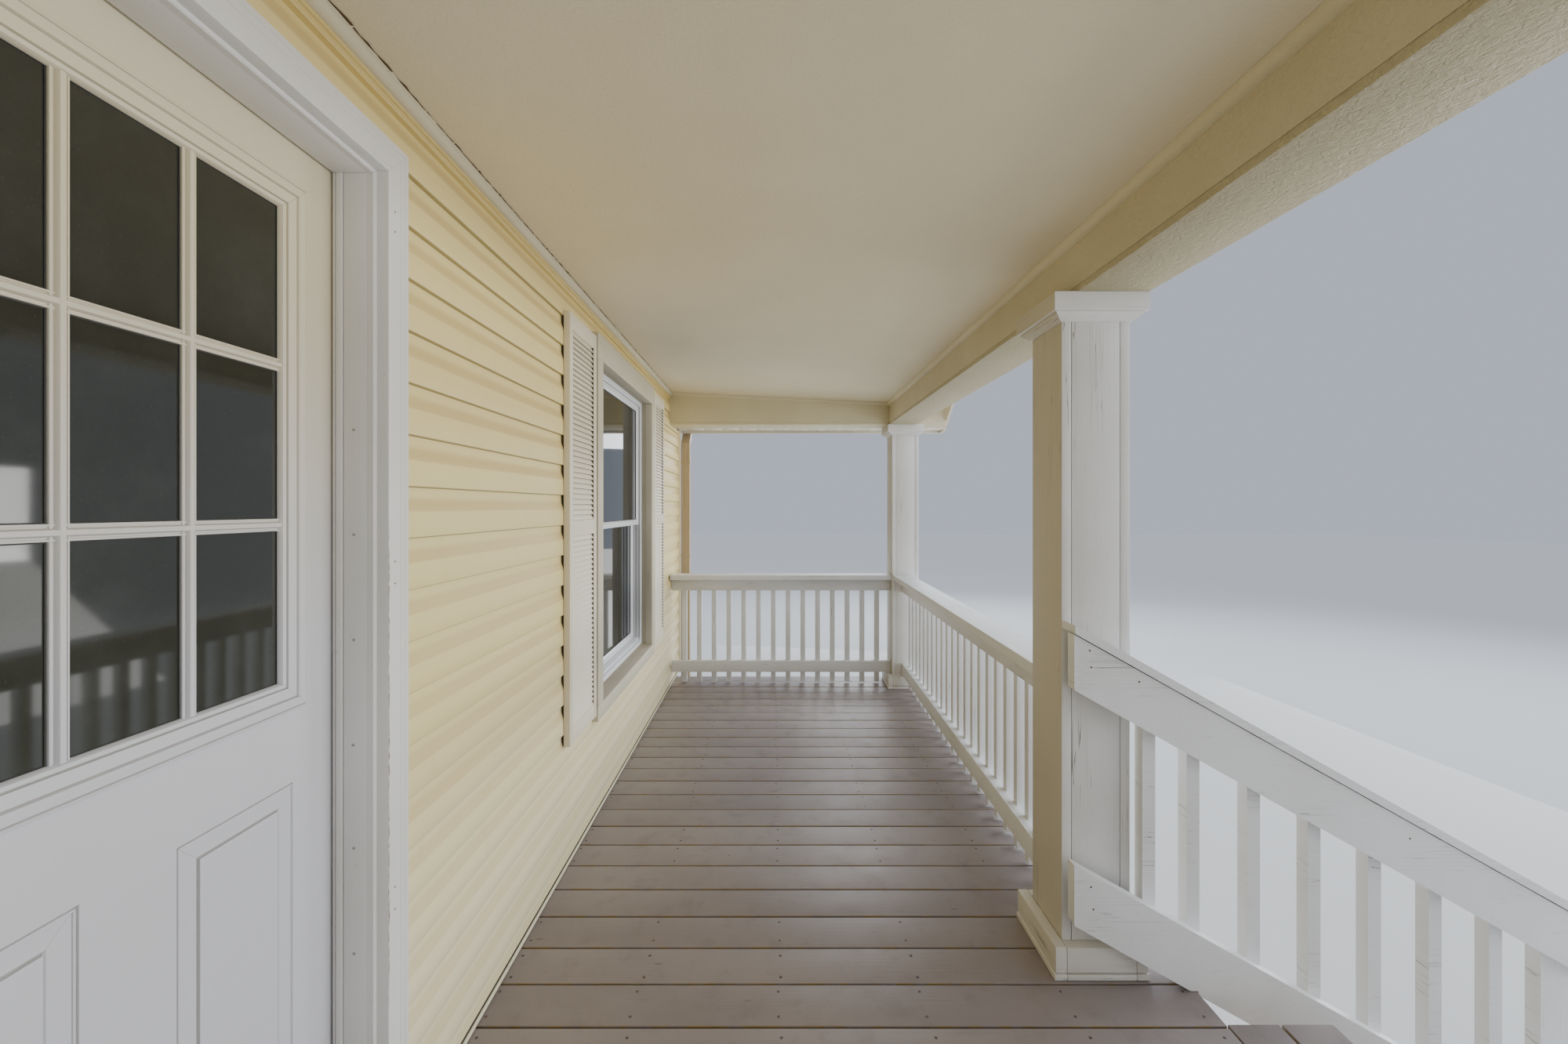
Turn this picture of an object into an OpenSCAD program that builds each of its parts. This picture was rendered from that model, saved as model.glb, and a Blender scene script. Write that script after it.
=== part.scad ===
// Front porch of a small timber house, with the stretch of house wall behind it.
// +X runs along the house wall, the street is towards -Y and the ground is z = 0.
// The drawing frame has y = 0 on the siding's face; place() moves it so that the
// origin lies under the middle of the whole object.

/* [Porch] */
// Distance between the centres of the two corner posts
post_span = 5016; // [4800:1:5200]
// Left corner post's centre to the middle post's centre, with the stairs between
stair_bay = 2156; // [2100:1:2220]
// Siding face to the corner posts' inner faces
porch_depth = 1719; // [1600:1:1900]
// How far the middle post stands in from the line of the corner posts
middle_post_in = 55; // [0:1:60]
// Deck top above the ground
deck_h = 533; // [500:1:560]

/* [Posts] */
// Side of the boxed square post
post_w = 205; // [180:1:215]
// Thickness of the plinth and capital boards around a post
collar_t = 38; // [30:1:40]
// Height of the plinth
plinth_h = 96; // [70:1:98]
// Height of the square block at the top of a post
capital_h = 55; // [40:1:90]
// Height of the bevel under that block
bevel_h = 25; // [15:1:40]

/* [Beams and ceiling] */
// Width of the boxed beams
beam_w = 212; // [200:1:240]
// Height of the boxed beams
beam_h = 280; // [270:1:300]
// How far the front beam sits in from the corner posts' centre line
beam_in = 20; // [0:1:24]
// Door casing's top to the ceiling, at the house wall
head_room = 140; // [120:1:160]
// How far the ceiling falls from the wall to the front beam
ceiling_fall = 78; // [60:1:100]
// How far the beams show below the ceiling at the front beam
beam_show = 168; // [150:1:180]
// Thickness of the ceiling boards
ceiling_t = 12; // [9:1:18]
// Side of the small trim strip around the ceiling
trim_w = 22; // [15:1:30]

/* [Roof] */
// Slope of the roof in degrees
roof_pitch = 35; // [30:0.5:38]
// Corner post centre to the outer face of the fascia
eave_overhang = 450; // [420:1:480]
// Front beam's outer face to the front of the rake boards
rake_overhang = 343; // [250:1:400]
// Underside of the beams to the underside of the roof boards, at the fascia
eave_rise = 140; // [130:1:170]
// Height of the fascia
fascia_h = 140; // [130:1:150]
// Thickness of the fascia, the rake boards and the eave ends
fascia_t = 20; // [18:1:25]
// Height of the rake boards, square to the slope
rake_h = 184; // [160:1:200]
// Thickness of the roof boards and shingles together, square to the slope
roof_t = 32; // [25:1:40]
// Thickness of the soffit panels
soffit_t = 10; // [8:1:14]
// Underside of the beams to the underside of the level soffit
soffit_rise = 20; // [15:1:30]
// Fascia face to the inner side of the boxed eave end
return_w = 228; // [200:1:250]
// Half width of the ridge cap along the slope
ridge_w = 140; // [120:1:170]
// Thickness of the ridge cap
ridge_t = 10; // [8:1:14]

/* [Gutters and downspouts] */
// Width of the gutter
gutter_w = 102; // [90:1:120]
// Depth of the gutter
gutter_h = 105; // [90:1:110]
// Sheet thickness of the gutter
gutter_t = 3; // [2:0.5:4]
// Width of the downspout, along the house wall
spout_w = 50; // [40:1:60]
// Depth of the downspout
spout_d = 77; // [60:1:80]
// Wall's corner trim to the downspout
spout_gap = 4; // [1:1:10]
// Siding face to the downspout's inner edge, towards the street
spout_front = 15; // [5:1:30]

/* [House wall] */
// Corner post's centre to the end of the house wall
wall_past = 360; // [340:1:372]
// Thickness of the framed wall
wall_t = 116; // [110:1:120]
// Depth of the siding, from the sheathing to the lower edge of a course
siding_t = 13; // [10:0.5:16]
// Height of one course of siding
course_h = 114.3; // [100:0.1:130]
// Lower edge of the lowest whole course above the deck
first_course = 68; // [20:1:90]
// Width of the strips that end the siding beside doors and at the deck
strip_w = 20; // [12:1:25]
// Width of the corner trim around the wall's ends
corner_w = 80; // [60:1:90]
// Thickness of the foundation wall
foundation_t = 190; // [180:1:200]

/* [Door] */
// How far the door's centre is from the stairs' centre line
door_off = -10; // [-40:1:40]
// Width of the door leaf
leaf_w = 762; // [700:1:813]
// Height of the door leaf
leaf_h = 2032; // [1981:1:2032]
// Thickness of the door leaf
leaf_t = 44; // [40:1:45]
// Gap around the door leaf
door_gap = 5; // [5:0.5:7]
// Height of the threshold
sill_h = 31; // [25:1:33]
// Thickness of the jambs
jamb_t = 19; // [16:1:22]
// How far the stop stands in from the jamb
stop_w = 13; // [10:1:16]
// Width of the outside casing
casing_w = 68; // [50:1:70]
// How far the casings of the door and window stand out from the siding's face
casing_out = 27; // [20:1:30]
// Knob centre to the leaf's edge
backset = 70; // [60:1:75]
// How far a knob stands out from the leaf
knob_l = 62; // [55:1:65]

/* [Door lights and panels] */
// Width of the glazed opening
light_w = 500; // [450:1:520]
// Leaf's lower edge to the glazed opening
light_foot = 1041; // [1020:1:1060]
// Leaf's top to the top of the glazed opening
light_down = 135; // [120:1:150]
// Width of the frame around the glass
light_frame_w = 58; // [45:1:60]
// How far that frame stands out from the leaf
light_frame_out = 10; // [6:1:12]
// That frame's lower edge to the knob's centre
knob_drop = 53; // [45:1:60]
// Width of the glazing bars
bar_w = 22; // [18:1:25]
// Thickness of the door's double glass
door_glass_t = 12; // [10:1:16]
// Width of a lower panel
panel_w = 223; // [200:1:230]
// Height of a lower panel
panel_h = 650; // [550:1:680]
// Frame around the glass to the top of the lower panels
panel_drop = 129; // [100:1:140]
// Space between the two lower panels
panel_gap = 124; // [100:1:140]
// Width of the sunk moulding around a panel's raised middle
panel_rim = 38; // [25:1:50]
// Depth of the sunk moulding
panel_sink = 6; // [3:0.5:8]

/* [Hinges] */
// Height of a hinge
hinge_h = 102; // [89:1:110]
// Thickness of the hinge plates
hinge_t = 2; // [1.5:0.1:2.2]
// Radius of the hinge pin
pin_r = 4; // [3:0.1:4.5]
// Gap between the pin and the knuckle's bore
pin_fit = 0.08; // [0.02:0.01:0.1]
// Radius of the knuckles
knuckle_r = 7; // [6.5:0.1:7.2]

/* [Window] */
// Corner post's centre to the window's centre
window_from_corner = 1474; // [1460:1:1520]
// Width between the casings
window_w = 1108; // [1000:1:1120]
// Height between the casings
window_h = 1542; // [1400:1:1560]
// Underside of the door's head to the top of the window's opening
window_drop = 6; // [0:1:40]
// Width of the upright casing boards
window_casing_w = 84; // [70:1:95]
// Height of the casing board over the window
window_head_h = 114; // [90:1:120]
// Height of the casing board under the window
window_foot_h = 66; // [50:1:90]
// Thickness of the lining boards in the opening
lining_t = 12; // [10:1:18]
// Casing face to the window frame's face
recess = 66; // [50:1:70]
// Width of the window frame's sides and head
frame_bar = 25; // [20:1:35]
// Height of the window frame's sill
frame_foot = 59; // [45:1:70]
// Depth of the window frame
frame_d = 80; // [79:1:84]
// Width of the sash bars
sash_bar = 32; // [28:1:45]
// Depth of a sash
sash_d = 30; // [26:1:30]
// Thickness of the window glass
glass_t = 4; // [3:1:6]
// How far the glass sits in its frame
glass_in = 8; // [5:1:12]

/* [Shutters] */
// Width of a shutter
shutter_w = 348; // [300:1:350]
// How far the shutters pass the top of the window's opening
shutter_up = 89; // [70:1:95]
// How far the shutters pass the bottom of the window's opening
shutter_down = 33; // [20:1:60]
// Thickness of a shutter
shutter_t = 25; // [20:1:28]
// Window casing's outer edge to the shutter
shutter_gap = 16; // [8:1:24]
// Width of the shutter's upright edges
stile_w = 36; // [30:1:50]
// Height of the shutter's top, middle and bottom rails
shutter_rail_h = 62; // [50:1:80]
// Distance from one louvre to the next
louvre_pitch = 21; // [18:0.5:26]

/* [Railings] */
// Thickness of the rail boards and the side of a baluster
rail_t = 38; // [30:1:38]
// Height of the rail boards
rail_h = 89; // [80:1:100]
// Thickness of the cap board
cap_t = 38; // [30:1:38]
// Top of the railing above the deck
railing_h = 866; // [840:1:1000]
// Bottom of the lower rail board above the deck
lower_rail_z = 98; // [98:1:130]
// Underside of the balusters above the deck
baluster_z = 12; // [8:1:30]
// Post's inner face to the rail boards
rail_setback = 74; // [70:1:90]
// How far the cap stands in over the rail boards
cap_in = 64; // [10:1:68]
// How far the cap stands out over the balusters
cap_out = 2; // [0:1:10]
// Wanted distance from one baluster to the next
baluster_pitch = 120; // [110:1:130]

/* [Deck] */
// Thickness of the deck boards and of the stair treads
board_t = 38; // [30:1:40]
// Deck beyond the posts' outer faces, at the front
deck_front = 96; // [80:1:120]
// Deck beyond the corner posts' centres, at the ends
deck_end = 212; // [200:1:230]
// Height of the rim boards
rim_h = 184; // [170:1:200]
// Deck edge to the rim board's outer face
rim_in = 19; // [10:1:25]
// Height of the joists
joist_h = 140; // [120:1:150]
// Distance from one joist to the next
joist_pitch = 406; // [380:1:420]
// Length of a block pier along Y
pier_l = 390; // [300:1:400]
// Width of a block pier along X
pier_w = 190; // [150:1:200]

/* [Stairs] */
// Stair rail boards' inner faces to the ends of the treads
tread_clear = 110; // [60:1:120]
// Depth of a stair tread
tread_d = 286; // [270:1:290]
// Distance from the front of one tread to the next
tread_run = 317; // [300:1:325]
// Height of the upper sloping rail board, square to the slope
slope_rail_h = 140; // [120:1:145]
// Height of the lower sloping rail board, square to the slope
slope_low_h = 152; // [120:1:155]
// Thickness of the cap on the sloping rail, square to the slope
slope_cap_t = 25; // [19:1:30]
// Slope of the stair rails in degrees
rail_pitch = 29.3; // [28.8:0.1:30]
// Top of the sloping rail above the deck, at the middle post's inner face
slope_top = 1056; // [1000:1:1080]
// Top of the lower sloping board above the deck, at the same place
slope_low = 363; // [355:1:375]
// Middle post's outer face to the first baluster of the even row
slope_first = 144; // [120:1:150]
// Width of the newels at the foot of the stairs, along the slope
newel_w = 89; // [80:1:140]
// Front of the lowest tread to the newels
newel_gap = 114; // [80:1:130]
// How far the sloping rail passes the newels
slope_past = 40; // [20:1:60]
// Distance from one sloping rail baluster to the next
slope_pitch = 178; // [150:1:190]

/* [Hidden] */
$fn = 48;

// Small gap that keeps neighbouring pieces of one kind apart
joint = 1;
// Smaller gap under the sloping roof and around the posts, so that nothing cuts in
fit = 0.3;

// Plan positions, with y = 0 on the siding's face
corner_x = post_span / 2;
middle_post_x = stair_bay - corner_x;
stair_x = (middle_post_x - corner_x) / 2;
door_x = stair_x + door_off;
window_x = corner_x - window_from_corner;
wall_half = corner_x + wall_past;
post_in_y = -porch_depth;
post_y = post_in_y - post_w / 2;
post_out_y = post_in_y - post_w;
beam_y = post_y + beam_in;
middle_in_y = post_in_y + middle_post_in;
middle_out_y = middle_in_y - post_w;
beam_in_y = beam_y + beam_w / 2;
beam_out_y = beam_y - beam_w / 2;
beam_in_x = corner_x - beam_w / 2;
beam_out_x = corner_x + beam_w / 2;
sheath_y = siding_t;
wall_back_y = sheath_y + wall_t;
back_y = sheath_y + foundation_t;
deck_front_y = post_out_y - deck_front;
deck_x = corner_x + deck_end;

// Levels of the door's head, which the ceiling, beams and eaves follow
leaf_z = deck_h + sill_h + door_gap;
leaf_top = leaf_z + leaf_h;
head_z = leaf_top + door_gap;
frame_top = head_z + jamb_t;
stop_z = head_z - stop_w;
reveal = 8;
casing_top = stop_z + reveal + casing_w;
ceiling_wall_z = casing_top + head_room;
beam_z = ceiling_wall_z - ceiling_fall - beam_show;
beam_top = beam_z + beam_h;
eave_z = beam_z + eave_rise;
soffit_z = beam_z + soffit_rise;
post_h = beam_z - deck_h;
ceiling_slope = ceiling_fall / -beam_in_y;

// Roof
eave_x = corner_x + eave_overhang;
rake_y = beam_out_y - rake_overhang;
drip = 25;
roof_rise = roof_t / cos(roof_pitch);
cap_rise = ridge_t / cos(roof_pitch);
gable_t = 100;
// Thickness of the boxed eave end's inner side, which laps the gable's ends
wing_t = 10;
wing_x = eave_x - return_w + wing_t;

// Door
rabbet = leaf_w / 2 + door_gap;
frame_half = rabbet + jamb_t;
stop_half = rabbet - stop_w;
leaf_y = wall_back_y - leaf_t;
casing_in = stop_half + reveal;
light_top = leaf_top - light_down;
light_z = leaf_z + light_foot;
light_h = light_top - light_z;
panel_top = light_z - light_frame_w - panel_drop;
pin_x = door_x + leaf_w / 2 + door_gap / 2;
pin_y = wall_back_y + knuckle_r + 1;
hinge_levels = [leaf_z + 280, leaf_z + leaf_h / 2, leaf_top - 230];
light_cols = 3;
light_rows = 3;
bar_out = 4;

// Window
window_half = window_w / 2;
window_top = stop_z - window_drop;
window_bottom = window_top - window_h;
frame_y = -casing_out + recess;
sash_half = window_half - frame_bar;
sash_low = window_bottom + frame_foot;
sash_top = window_top - frame_bar;
meeting_z = (sash_low + sash_top) / 2;
sash_gap = 4;
sash_lap = sash_bar / 2;
outer_sash_y = frame_y + 14;
inner_sash_y = outer_sash_y + sash_d + sash_gap;
shutter_h = window_h + shutter_up + shutter_down;
shutter_x = window_half + window_casing_w + shutter_gap + shutter_w / 2;

// Stairs
risers = 3;
riser = deck_h / risers;
run_front_y = deck_front_y - tread_d;
last_front_y = run_front_y - (risers - 1) * tread_run;
newel_y = last_front_y - newel_gap - newel_w;
slope_end_y = newel_y - slope_past;
slope = tan(rail_pitch);
slope_rise = slope_rail_h / cos(rail_pitch);
slope_cap_rise = slope_cap_t / cos(rail_pitch);
low_rise = slope_low_h / cos(rail_pitch);
stair_rail_x = middle_post_x - post_w / 2 - 2 * rail_t - stair_x;
stair_w = 2 * (stair_rail_x - tread_clear);

// Middle of the whole object along Y, which becomes y = 0
y_shift = -(slope_end_y + back_y) / 2;

wall_color = "#eedd9f";
cream = "#efe3c2";
white = "#f3f0ea";
deck_color = "#8d7b7b";
shingle_color = "#6c655c";
block_color = "#9a968f";
spout_color = "#c9ac86";
glass_color = "#9fb4b8";
metal_color = "#b79a5c";
lumber_color = "#b59a72";

module place() {
    translate([0, y_shift, 0]) children();
}

// Box between two corners
module box(low, high) {
    translate(low) cube(high - low);
}

// Outline of [y, z] points drawn out along X
module along_x(x0, x1) {
    translate([x0, 0, 0]) rotate([90, 0, 90]) linear_extrude(x1 - x0) children();
}

// Outline of [x, z] points drawn out along Y
module along_y(y0, y1) {
    translate([0, y1, 0]) rotate([90, 0, 0]) linear_extrude(y1 - y0) children();
}

// The shape and its mirror image in the plane x = at
module both(at = 0) {
    children();
    translate([2 * at, 0, 0]) mirror([1, 0, 0]) children();
}

// Underside of the roof boards at a distance x from the ridge
function roof_z(x) = eave_z + (eave_x - abs(x)) * tan(roof_pitch);

// Underside of the ceiling at y
function ceiling_z(y) = ceiling_wall_z + y * ceiling_slope;

// Outline of the courses of lap siding from z0 to z1: each course has a thick
// lower edge, a flat face and a scooped top that the next course laps over
function siding_outline(z0, z1) =
    let (
        n = ceil((z1 - z0) / course_h),
        faces = [
            for (i = [0 : n - 1])
                let (z = z0 + i * course_h)
                each [
                    [0, z],
                    [0.1 * siding_t, z + 0.6 * course_h],
                    [0.55 * siding_t, z + 0.75 * course_h],
                    [0.75 * siding_t, z + course_h]
                ]
        ]
    )
    concat([[siding_t, z0]], faces, [[siding_t, z0 + n * course_h]]);

module foundation_wall() {
    color(block_color) place()
        box([-wall_half, sheath_y, 0], [wall_half, back_y, deck_h]);
}

// The stretch of wall to the left of the door
module wall_left() {
    color(wall_color) place()
        box([-wall_half, sheath_y, deck_h], [door_x - frame_half, wall_back_y, eave_z]);
}

// The stretch of wall to the right of the door, with the window's hole
module wall_right() {
    hole = window_half + lining_t;
    color(wall_color) place()
        difference() {
            box([door_x + frame_half, sheath_y, deck_h], [wall_half, wall_back_y, eave_z]);
            box([window_x - hole, sheath_y - 1, window_bottom - lining_t],
                [window_x + hole, wall_back_y + 1, window_top + lining_t]);
        }
}

module wall_over_door() {
    color(wall_color) place()
        box([door_x - frame_half, sheath_y, frame_top],
            [door_x + frame_half, wall_back_y, eave_z]);
}

// House wall above the porch ceiling, up to the roof
module wall_gable() {
    color(wall_color) place()
        along_y(sheath_y, wall_back_y)
            polygon([
                [-wall_half, eave_z], [wall_half, eave_z], [wall_half, roof_z(wall_half)],
                [0, roof_z(0)], [-wall_half, roof_z(wall_half)]
            ]);
}

// Lap siding under the porch, cut out around the casings, beams and soffits
module siding() {
    casing = window_half + window_casing_w;
    siding_top = ceiling_wall_z + 2 * course_h;
    color(wall_color) place()
        difference() {
            along_x(-wall_half, wall_half)
                polygon(siding_outline(deck_h + first_course - course_h, ceiling_wall_z));
            box([door_x - casing_in - casing_w - strip_w, -1, deck_h - 1],
                [door_x + casing_in + casing_w + strip_w, siding_t + 1, casing_top + strip_w]);
            box([window_x - casing, -1, window_bottom - window_foot_h],
                [window_x + casing, siding_t + 1, window_top + window_head_h]);
            box([-wall_half, -1, ceiling_wall_z], [wall_half, siding_t + 1, siding_top]);
            both() {
                box([beam_in_x, -1, beam_z], [beam_out_x, siding_t + 1, siding_top]);
                box([beam_out_x - 1, -1, soffit_z], [wall_half, siding_t + 1, siding_top]);
            }
            box([-wall_half, -1, deck_h - course_h], [wall_half, siding_t + 1, deck_h + strip_w]);
        }
}

// Corner trim, the strip along the deck and the strips around the door casing
module corner_trim() {
    top = soffit_z;
    casing = casing_in + casing_w;
    base_z = deck_h + strip_w;
    color(cream) place() {
        both()
            box([wall_half, siding_t / 2, deck_h], [wall_half + siding_t, corner_w, top]);
        box([-wall_half, 0, deck_h], [door_x - casing - joint, siding_t, base_z]);
        box([door_x + casing + joint, 0, deck_h], [wall_half, siding_t, base_z]);
        both(door_x)
            box([door_x + casing, 0, base_z + joint],
                [door_x + casing + strip_w, siding_t, casing_top]);
        box([door_x - casing - strip_w, 0, casing_top + joint],
            [door_x + casing + strip_w, siding_t, casing_top + strip_w]);
    }
}

// Two rabbeted side jambs under a rabbeted head
module door_frame() {
    color(white) place() {
        both(door_x)
            along_z_jamb();
        along_x(door_x - frame_half, door_x + frame_half)
            polygon([
                [sheath_y, stop_z], [leaf_y - door_gap, stop_z], [leaf_y - door_gap, head_z],
                [wall_back_y, head_z], [wall_back_y, frame_top], [sheath_y, frame_top]
            ]);
    }
}

module along_z_jamb() {
    translate([door_x, 0, deck_h + sill_h])
        linear_extrude(stop_z - joint - deck_h - sill_h)
            polygon([
                [stop_half, sheath_y], [frame_half, sheath_y], [frame_half, wall_back_y],
                [rabbet, wall_back_y], [rabbet, leaf_y - door_gap],
                [stop_half, leaf_y - door_gap]
            ]);
}

// Outside casing: two uprights and a head
module door_casing() {
    outer = casing_in + casing_w;
    head = casing_top - casing_w;
    color(white) place() {
        both(door_x)
            box([door_x + casing_in, -casing_out, deck_h], [door_x + outer, sheath_y, head - joint]);
        box([door_x - outer, -casing_out, head], [door_x + outer, sheath_y, casing_top]);
    }
}

// Threshold with a sloping nose
module door_sill() {
    nose = 25;
    nose_h = 12;
    color("#b9b4aa") place() {
        box([door_x - frame_half, sheath_y, deck_h],
            [door_x + frame_half, wall_back_y, deck_h + sill_h]);
        along_x(door_x - casing_in + joint, door_x + casing_in - joint)
            polygon([
                [-nose, deck_h], [sheath_y, deck_h], [sheath_y, deck_h + sill_h],
                [-nose, deck_h + nose_h]
            ]);
    }
}

// Frame half of one butt hinge: plate, two outer knuckles and the fixed pin
module frame_hinge() {
    third = hinge_h / 3;
    plate_w = 34;
    box([door_x + rabbet - hinge_t, wall_back_y - plate_w, 0],
        [door_x + rabbet, wall_back_y, hinge_h]);
    translate([pin_x, pin_y, 0]) cylinder(r = pin_r, h = hinge_h);
    for (z = [0, 2 * third + 0.5]) {
        translate([pin_x, pin_y, z]) cylinder(r = knuckle_r, h = third - 0.5);
        box([door_x + rabbet - hinge_t, wall_back_y - 1, z],
            [door_x + rabbet, pin_y, z + third - 0.5]);
    }
}

module door_hinges() {
    color(metal_color) place()
        for (z = hinge_levels)
            translate([0, 0, z - hinge_h / 2]) frame_hinge();
}

// Door half of one butt hinge: plate and a bored middle knuckle
module leaf_hinge() {
    third = hinge_h / 3;
    plate_w = 34;
    edge = door_x + leaf_w / 2;
    box([edge, wall_back_y - plate_w, 0], [edge + hinge_t, wall_back_y, hinge_h]);
    difference() {
        union() {
            translate([pin_x, pin_y, third]) cylinder(r = knuckle_r, h = third);
            box([edge, wall_back_y - 1, third], [edge + hinge_t, pin_y, 2 * third]);
        }
        translate([pin_x, pin_y, third - 1]) cylinder(r = pin_r + pin_fit, h = third + 2);
    }
}

module door_hinge_leaves() {
    color(metal_color) place()
        for (z = hinge_levels)
            translate([0, 0, z - hinge_h / 2]) leaf_hinge();
}

// One lower panel's sunk moulding, cut into both faces
module panel_groove(x0, x1, z0, z1) {
    for (y = [leaf_y - 1, wall_back_y - panel_sink])
        difference() {
            box([x0, y, z0], [x1, y + panel_sink + 1, z1]);
            box([x0 + panel_rim, y - 1, z0 + panel_rim],
                [x1 - panel_rim, y + panel_sink + 2, z1 - panel_rim]);
        }
}

// Door leaf with the hole for the glass and two lower panels
module door_leaf() {
    hole_w = light_w / 2 + light_frame_w / 2;
    color(white) place()
        difference() {
            box([door_x - leaf_w / 2, leaf_y, leaf_z], [door_x + leaf_w / 2, wall_back_y, leaf_top]);
            box([door_x - hole_w, leaf_y - 1, light_z - light_frame_w / 2],
                [door_x + hole_w, wall_back_y + 1, light_top + light_frame_w / 2]);
            both(door_x)
                panel_groove(door_x + panel_gap / 2, door_x + panel_gap / 2 + panel_w,
                    panel_top - panel_h, panel_top);
        }
}

// Frame around the door's glass, with its bars on both faces
module door_light_frame() {
    half = light_w / 2;
    color(white) place()
        difference() {
            union() {
                difference() {
                    union() {
                        light_block(light_frame_w, leaf_y - light_frame_out, leaf_y);
                        light_block(light_frame_w / 2, leaf_y - 0.5, wall_back_y + 0.5);
                        light_block(light_frame_w, wall_back_y, wall_back_y + light_frame_out);
                    }
                    light_block(0, 0, 2 * wall_back_y);
                }
                for (i = [1 : light_cols - 1])
                    let (x = door_x - half + i * light_w / light_cols)
                    box([x - bar_w / 2, leaf_y - bar_out, light_z - 1],
                        [x + bar_w / 2, wall_back_y + bar_out, light_top + 1]);
                for (i = [1 : light_rows - 1])
                    let (z = light_z + i * light_h / light_rows)
                    box([door_x - half - 1, leaf_y - bar_out, z - bar_w / 2],
                        [door_x + half + 1, wall_back_y + bar_out, z + bar_w / 2]);
            }
            glass_block();
        }
}

// Block that is larger than the glazed opening by margin all round
module light_block(margin, y0, y1) {
    box([door_x - light_w / 2 - margin, y0, light_z - margin],
        [door_x + light_w / 2 + margin, y1, light_top + margin]);
}

module glass_block() {
    mid = (leaf_y + wall_back_y) / 2;
    light_block(glass_in, mid - door_glass_t / 2, mid + door_glass_t / 2);
}

module door_glass() {
    color(glass_color) place() glass_block();
}

// Outline of a round knob on its rose, standing out by knob_l
module knob_shape() {
    rose_r = 33;
    neck_r = 12;
    ball_r = 27;
    rotate_extrude()
        polygon([
            [0, 0], [rose_r, 0], [rose_r, 5], [rose_r - 6, 9], [neck_r, 10], [neck_r, 26],
            [ball_r - 5, 32], [ball_r, 40], [ball_r, knob_l - 12], [ball_r - 7, knob_l - 3],
            [ball_r - 14, knob_l], [0, knob_l]
        ]);
}

module door_knobs() {
    x = door_x - leaf_w / 2 + backset;
    z = light_z - light_frame_w - knob_drop;
    color(metal_color) place() {
        translate([x, leaf_y, z]) rotate([90, 0, 0]) knob_shape();
        translate([x, wall_back_y, z]) rotate([-90, 0, 0]) knob_shape();
    }
}

// Frame of bars around a rectangle, standing in XZ
module ring(x0, x1, z0, z1, bar, y0, y1) {
    difference() {
        box([x0, y0, z0], [x1, y1, z1]);
        box([x0 + bar, y0 - 1, z0 + bar], [x1 - bar, y1 + 1, z1 - bar]);
    }
}

// Lining of the wall's hole and the window frame inside it
module window_frame() {
    lined = window_half + lining_t;
    color(white) place() {
        ring(window_x - lined, window_x + lined, window_bottom - lining_t, window_top + lining_t,
            lining_t, sheath_y, frame_y + frame_d);
        difference() {
            box([window_x - window_half, frame_y, window_bottom],
                [window_x + window_half, frame_y + frame_d, window_top]);
            box([window_x - sash_half, frame_y - 1, sash_low],
                [window_x + sash_half, frame_y + frame_d + 1, sash_top]);
        }
    }
}

// Flat boards around the window: head and sill over and under two uprights
module window_casing() {
    outer = window_half + window_casing_w;
    color(white) place() {
        both(window_x)
            box([window_x + window_half, -casing_out, window_bottom + joint],
                [window_x + outer, sheath_y, window_top - joint]);
        box([window_x - outer, -casing_out, window_top],
            [window_x + outer, sheath_y, window_top + window_head_h]);
        box([window_x - outer, -casing_out, window_bottom - window_foot_h],
            [window_x + outer, sheath_y, window_bottom]);
    }
}

module upper_glass() {
    mid = outer_sash_y + sash_d / 2;
    side = sash_half - sash_bar + glass_in;
    box([window_x - side, mid - glass_t / 2, meeting_z - sash_lap + sash_bar - glass_in],
        [window_x + side, mid + glass_t / 2, sash_top - sash_bar + glass_in]);
}

module lower_glass() {
    mid = inner_sash_y + sash_d / 2;
    side = sash_half - sash_bar + glass_in;
    box([window_x - side, mid - glass_t / 2, sash_low + sash_bar - glass_in],
        [window_x + side, mid + glass_t / 2, meeting_z + sash_lap - sash_bar + glass_in]);
}

// Upper sash outside, lower sash inside
module window_sashes() {
    color(white) place() {
        difference() {
            ring(window_x - sash_half, window_x + sash_half, meeting_z - sash_lap, sash_top,
                sash_bar, outer_sash_y, outer_sash_y + sash_d);
            upper_glass();
        }
        difference() {
            ring(window_x - sash_half, window_x + sash_half, sash_low, meeting_z + sash_lap,
                sash_bar, inner_sash_y, inner_sash_y + sash_d);
            lower_glass();
        }
    }
}

module window_glass() {
    color(glass_color) place() {
        upper_glass();
        lower_glass();
    }
}

// Sloping louvres between two levels, as one saw-toothed outline
function louvre_outline(z0, z1) =
    let (
        n = round((z1 - z0) / louvre_pitch),
        step = (z1 - z0) / n,
        out_y = -0.85 * shutter_t,
        in_y = -0.4 * shutter_t
    )
    concat(
        [[0, z0]],
        [for (i = [0 : n - 1]) each [[out_y, z0 + i * step], [in_y, z0 + (i + 1) * step]]],
        [[0, z1]]
    );

module shutter(x) {
    low = window_bottom - shutter_down;
    top = low + shutter_h;
    mid = (low + top) / 2;
    half = shutter_w / 2;
    for (side = [-1, 1])
        let (edge = x + side * (half - stile_w / 2))
        box([edge - stile_w / 2, -shutter_t, low], [edge + stile_w / 2, 0, top]);
    for (z = [low, mid - shutter_rail_h / 2, top - shutter_rail_h])
        box([x - half + 1, -shutter_t, z], [x + half - 1, 0, z + shutter_rail_h]);
    for (z = [[low + shutter_rail_h, mid - shutter_rail_h / 2],
              [mid + shutter_rail_h / 2, top - shutter_rail_h]])
        along_x(x - half + stile_w - 1, x + half - stile_w + 1)
            polygon(louvre_outline(z[0], z[1]));
}

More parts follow.
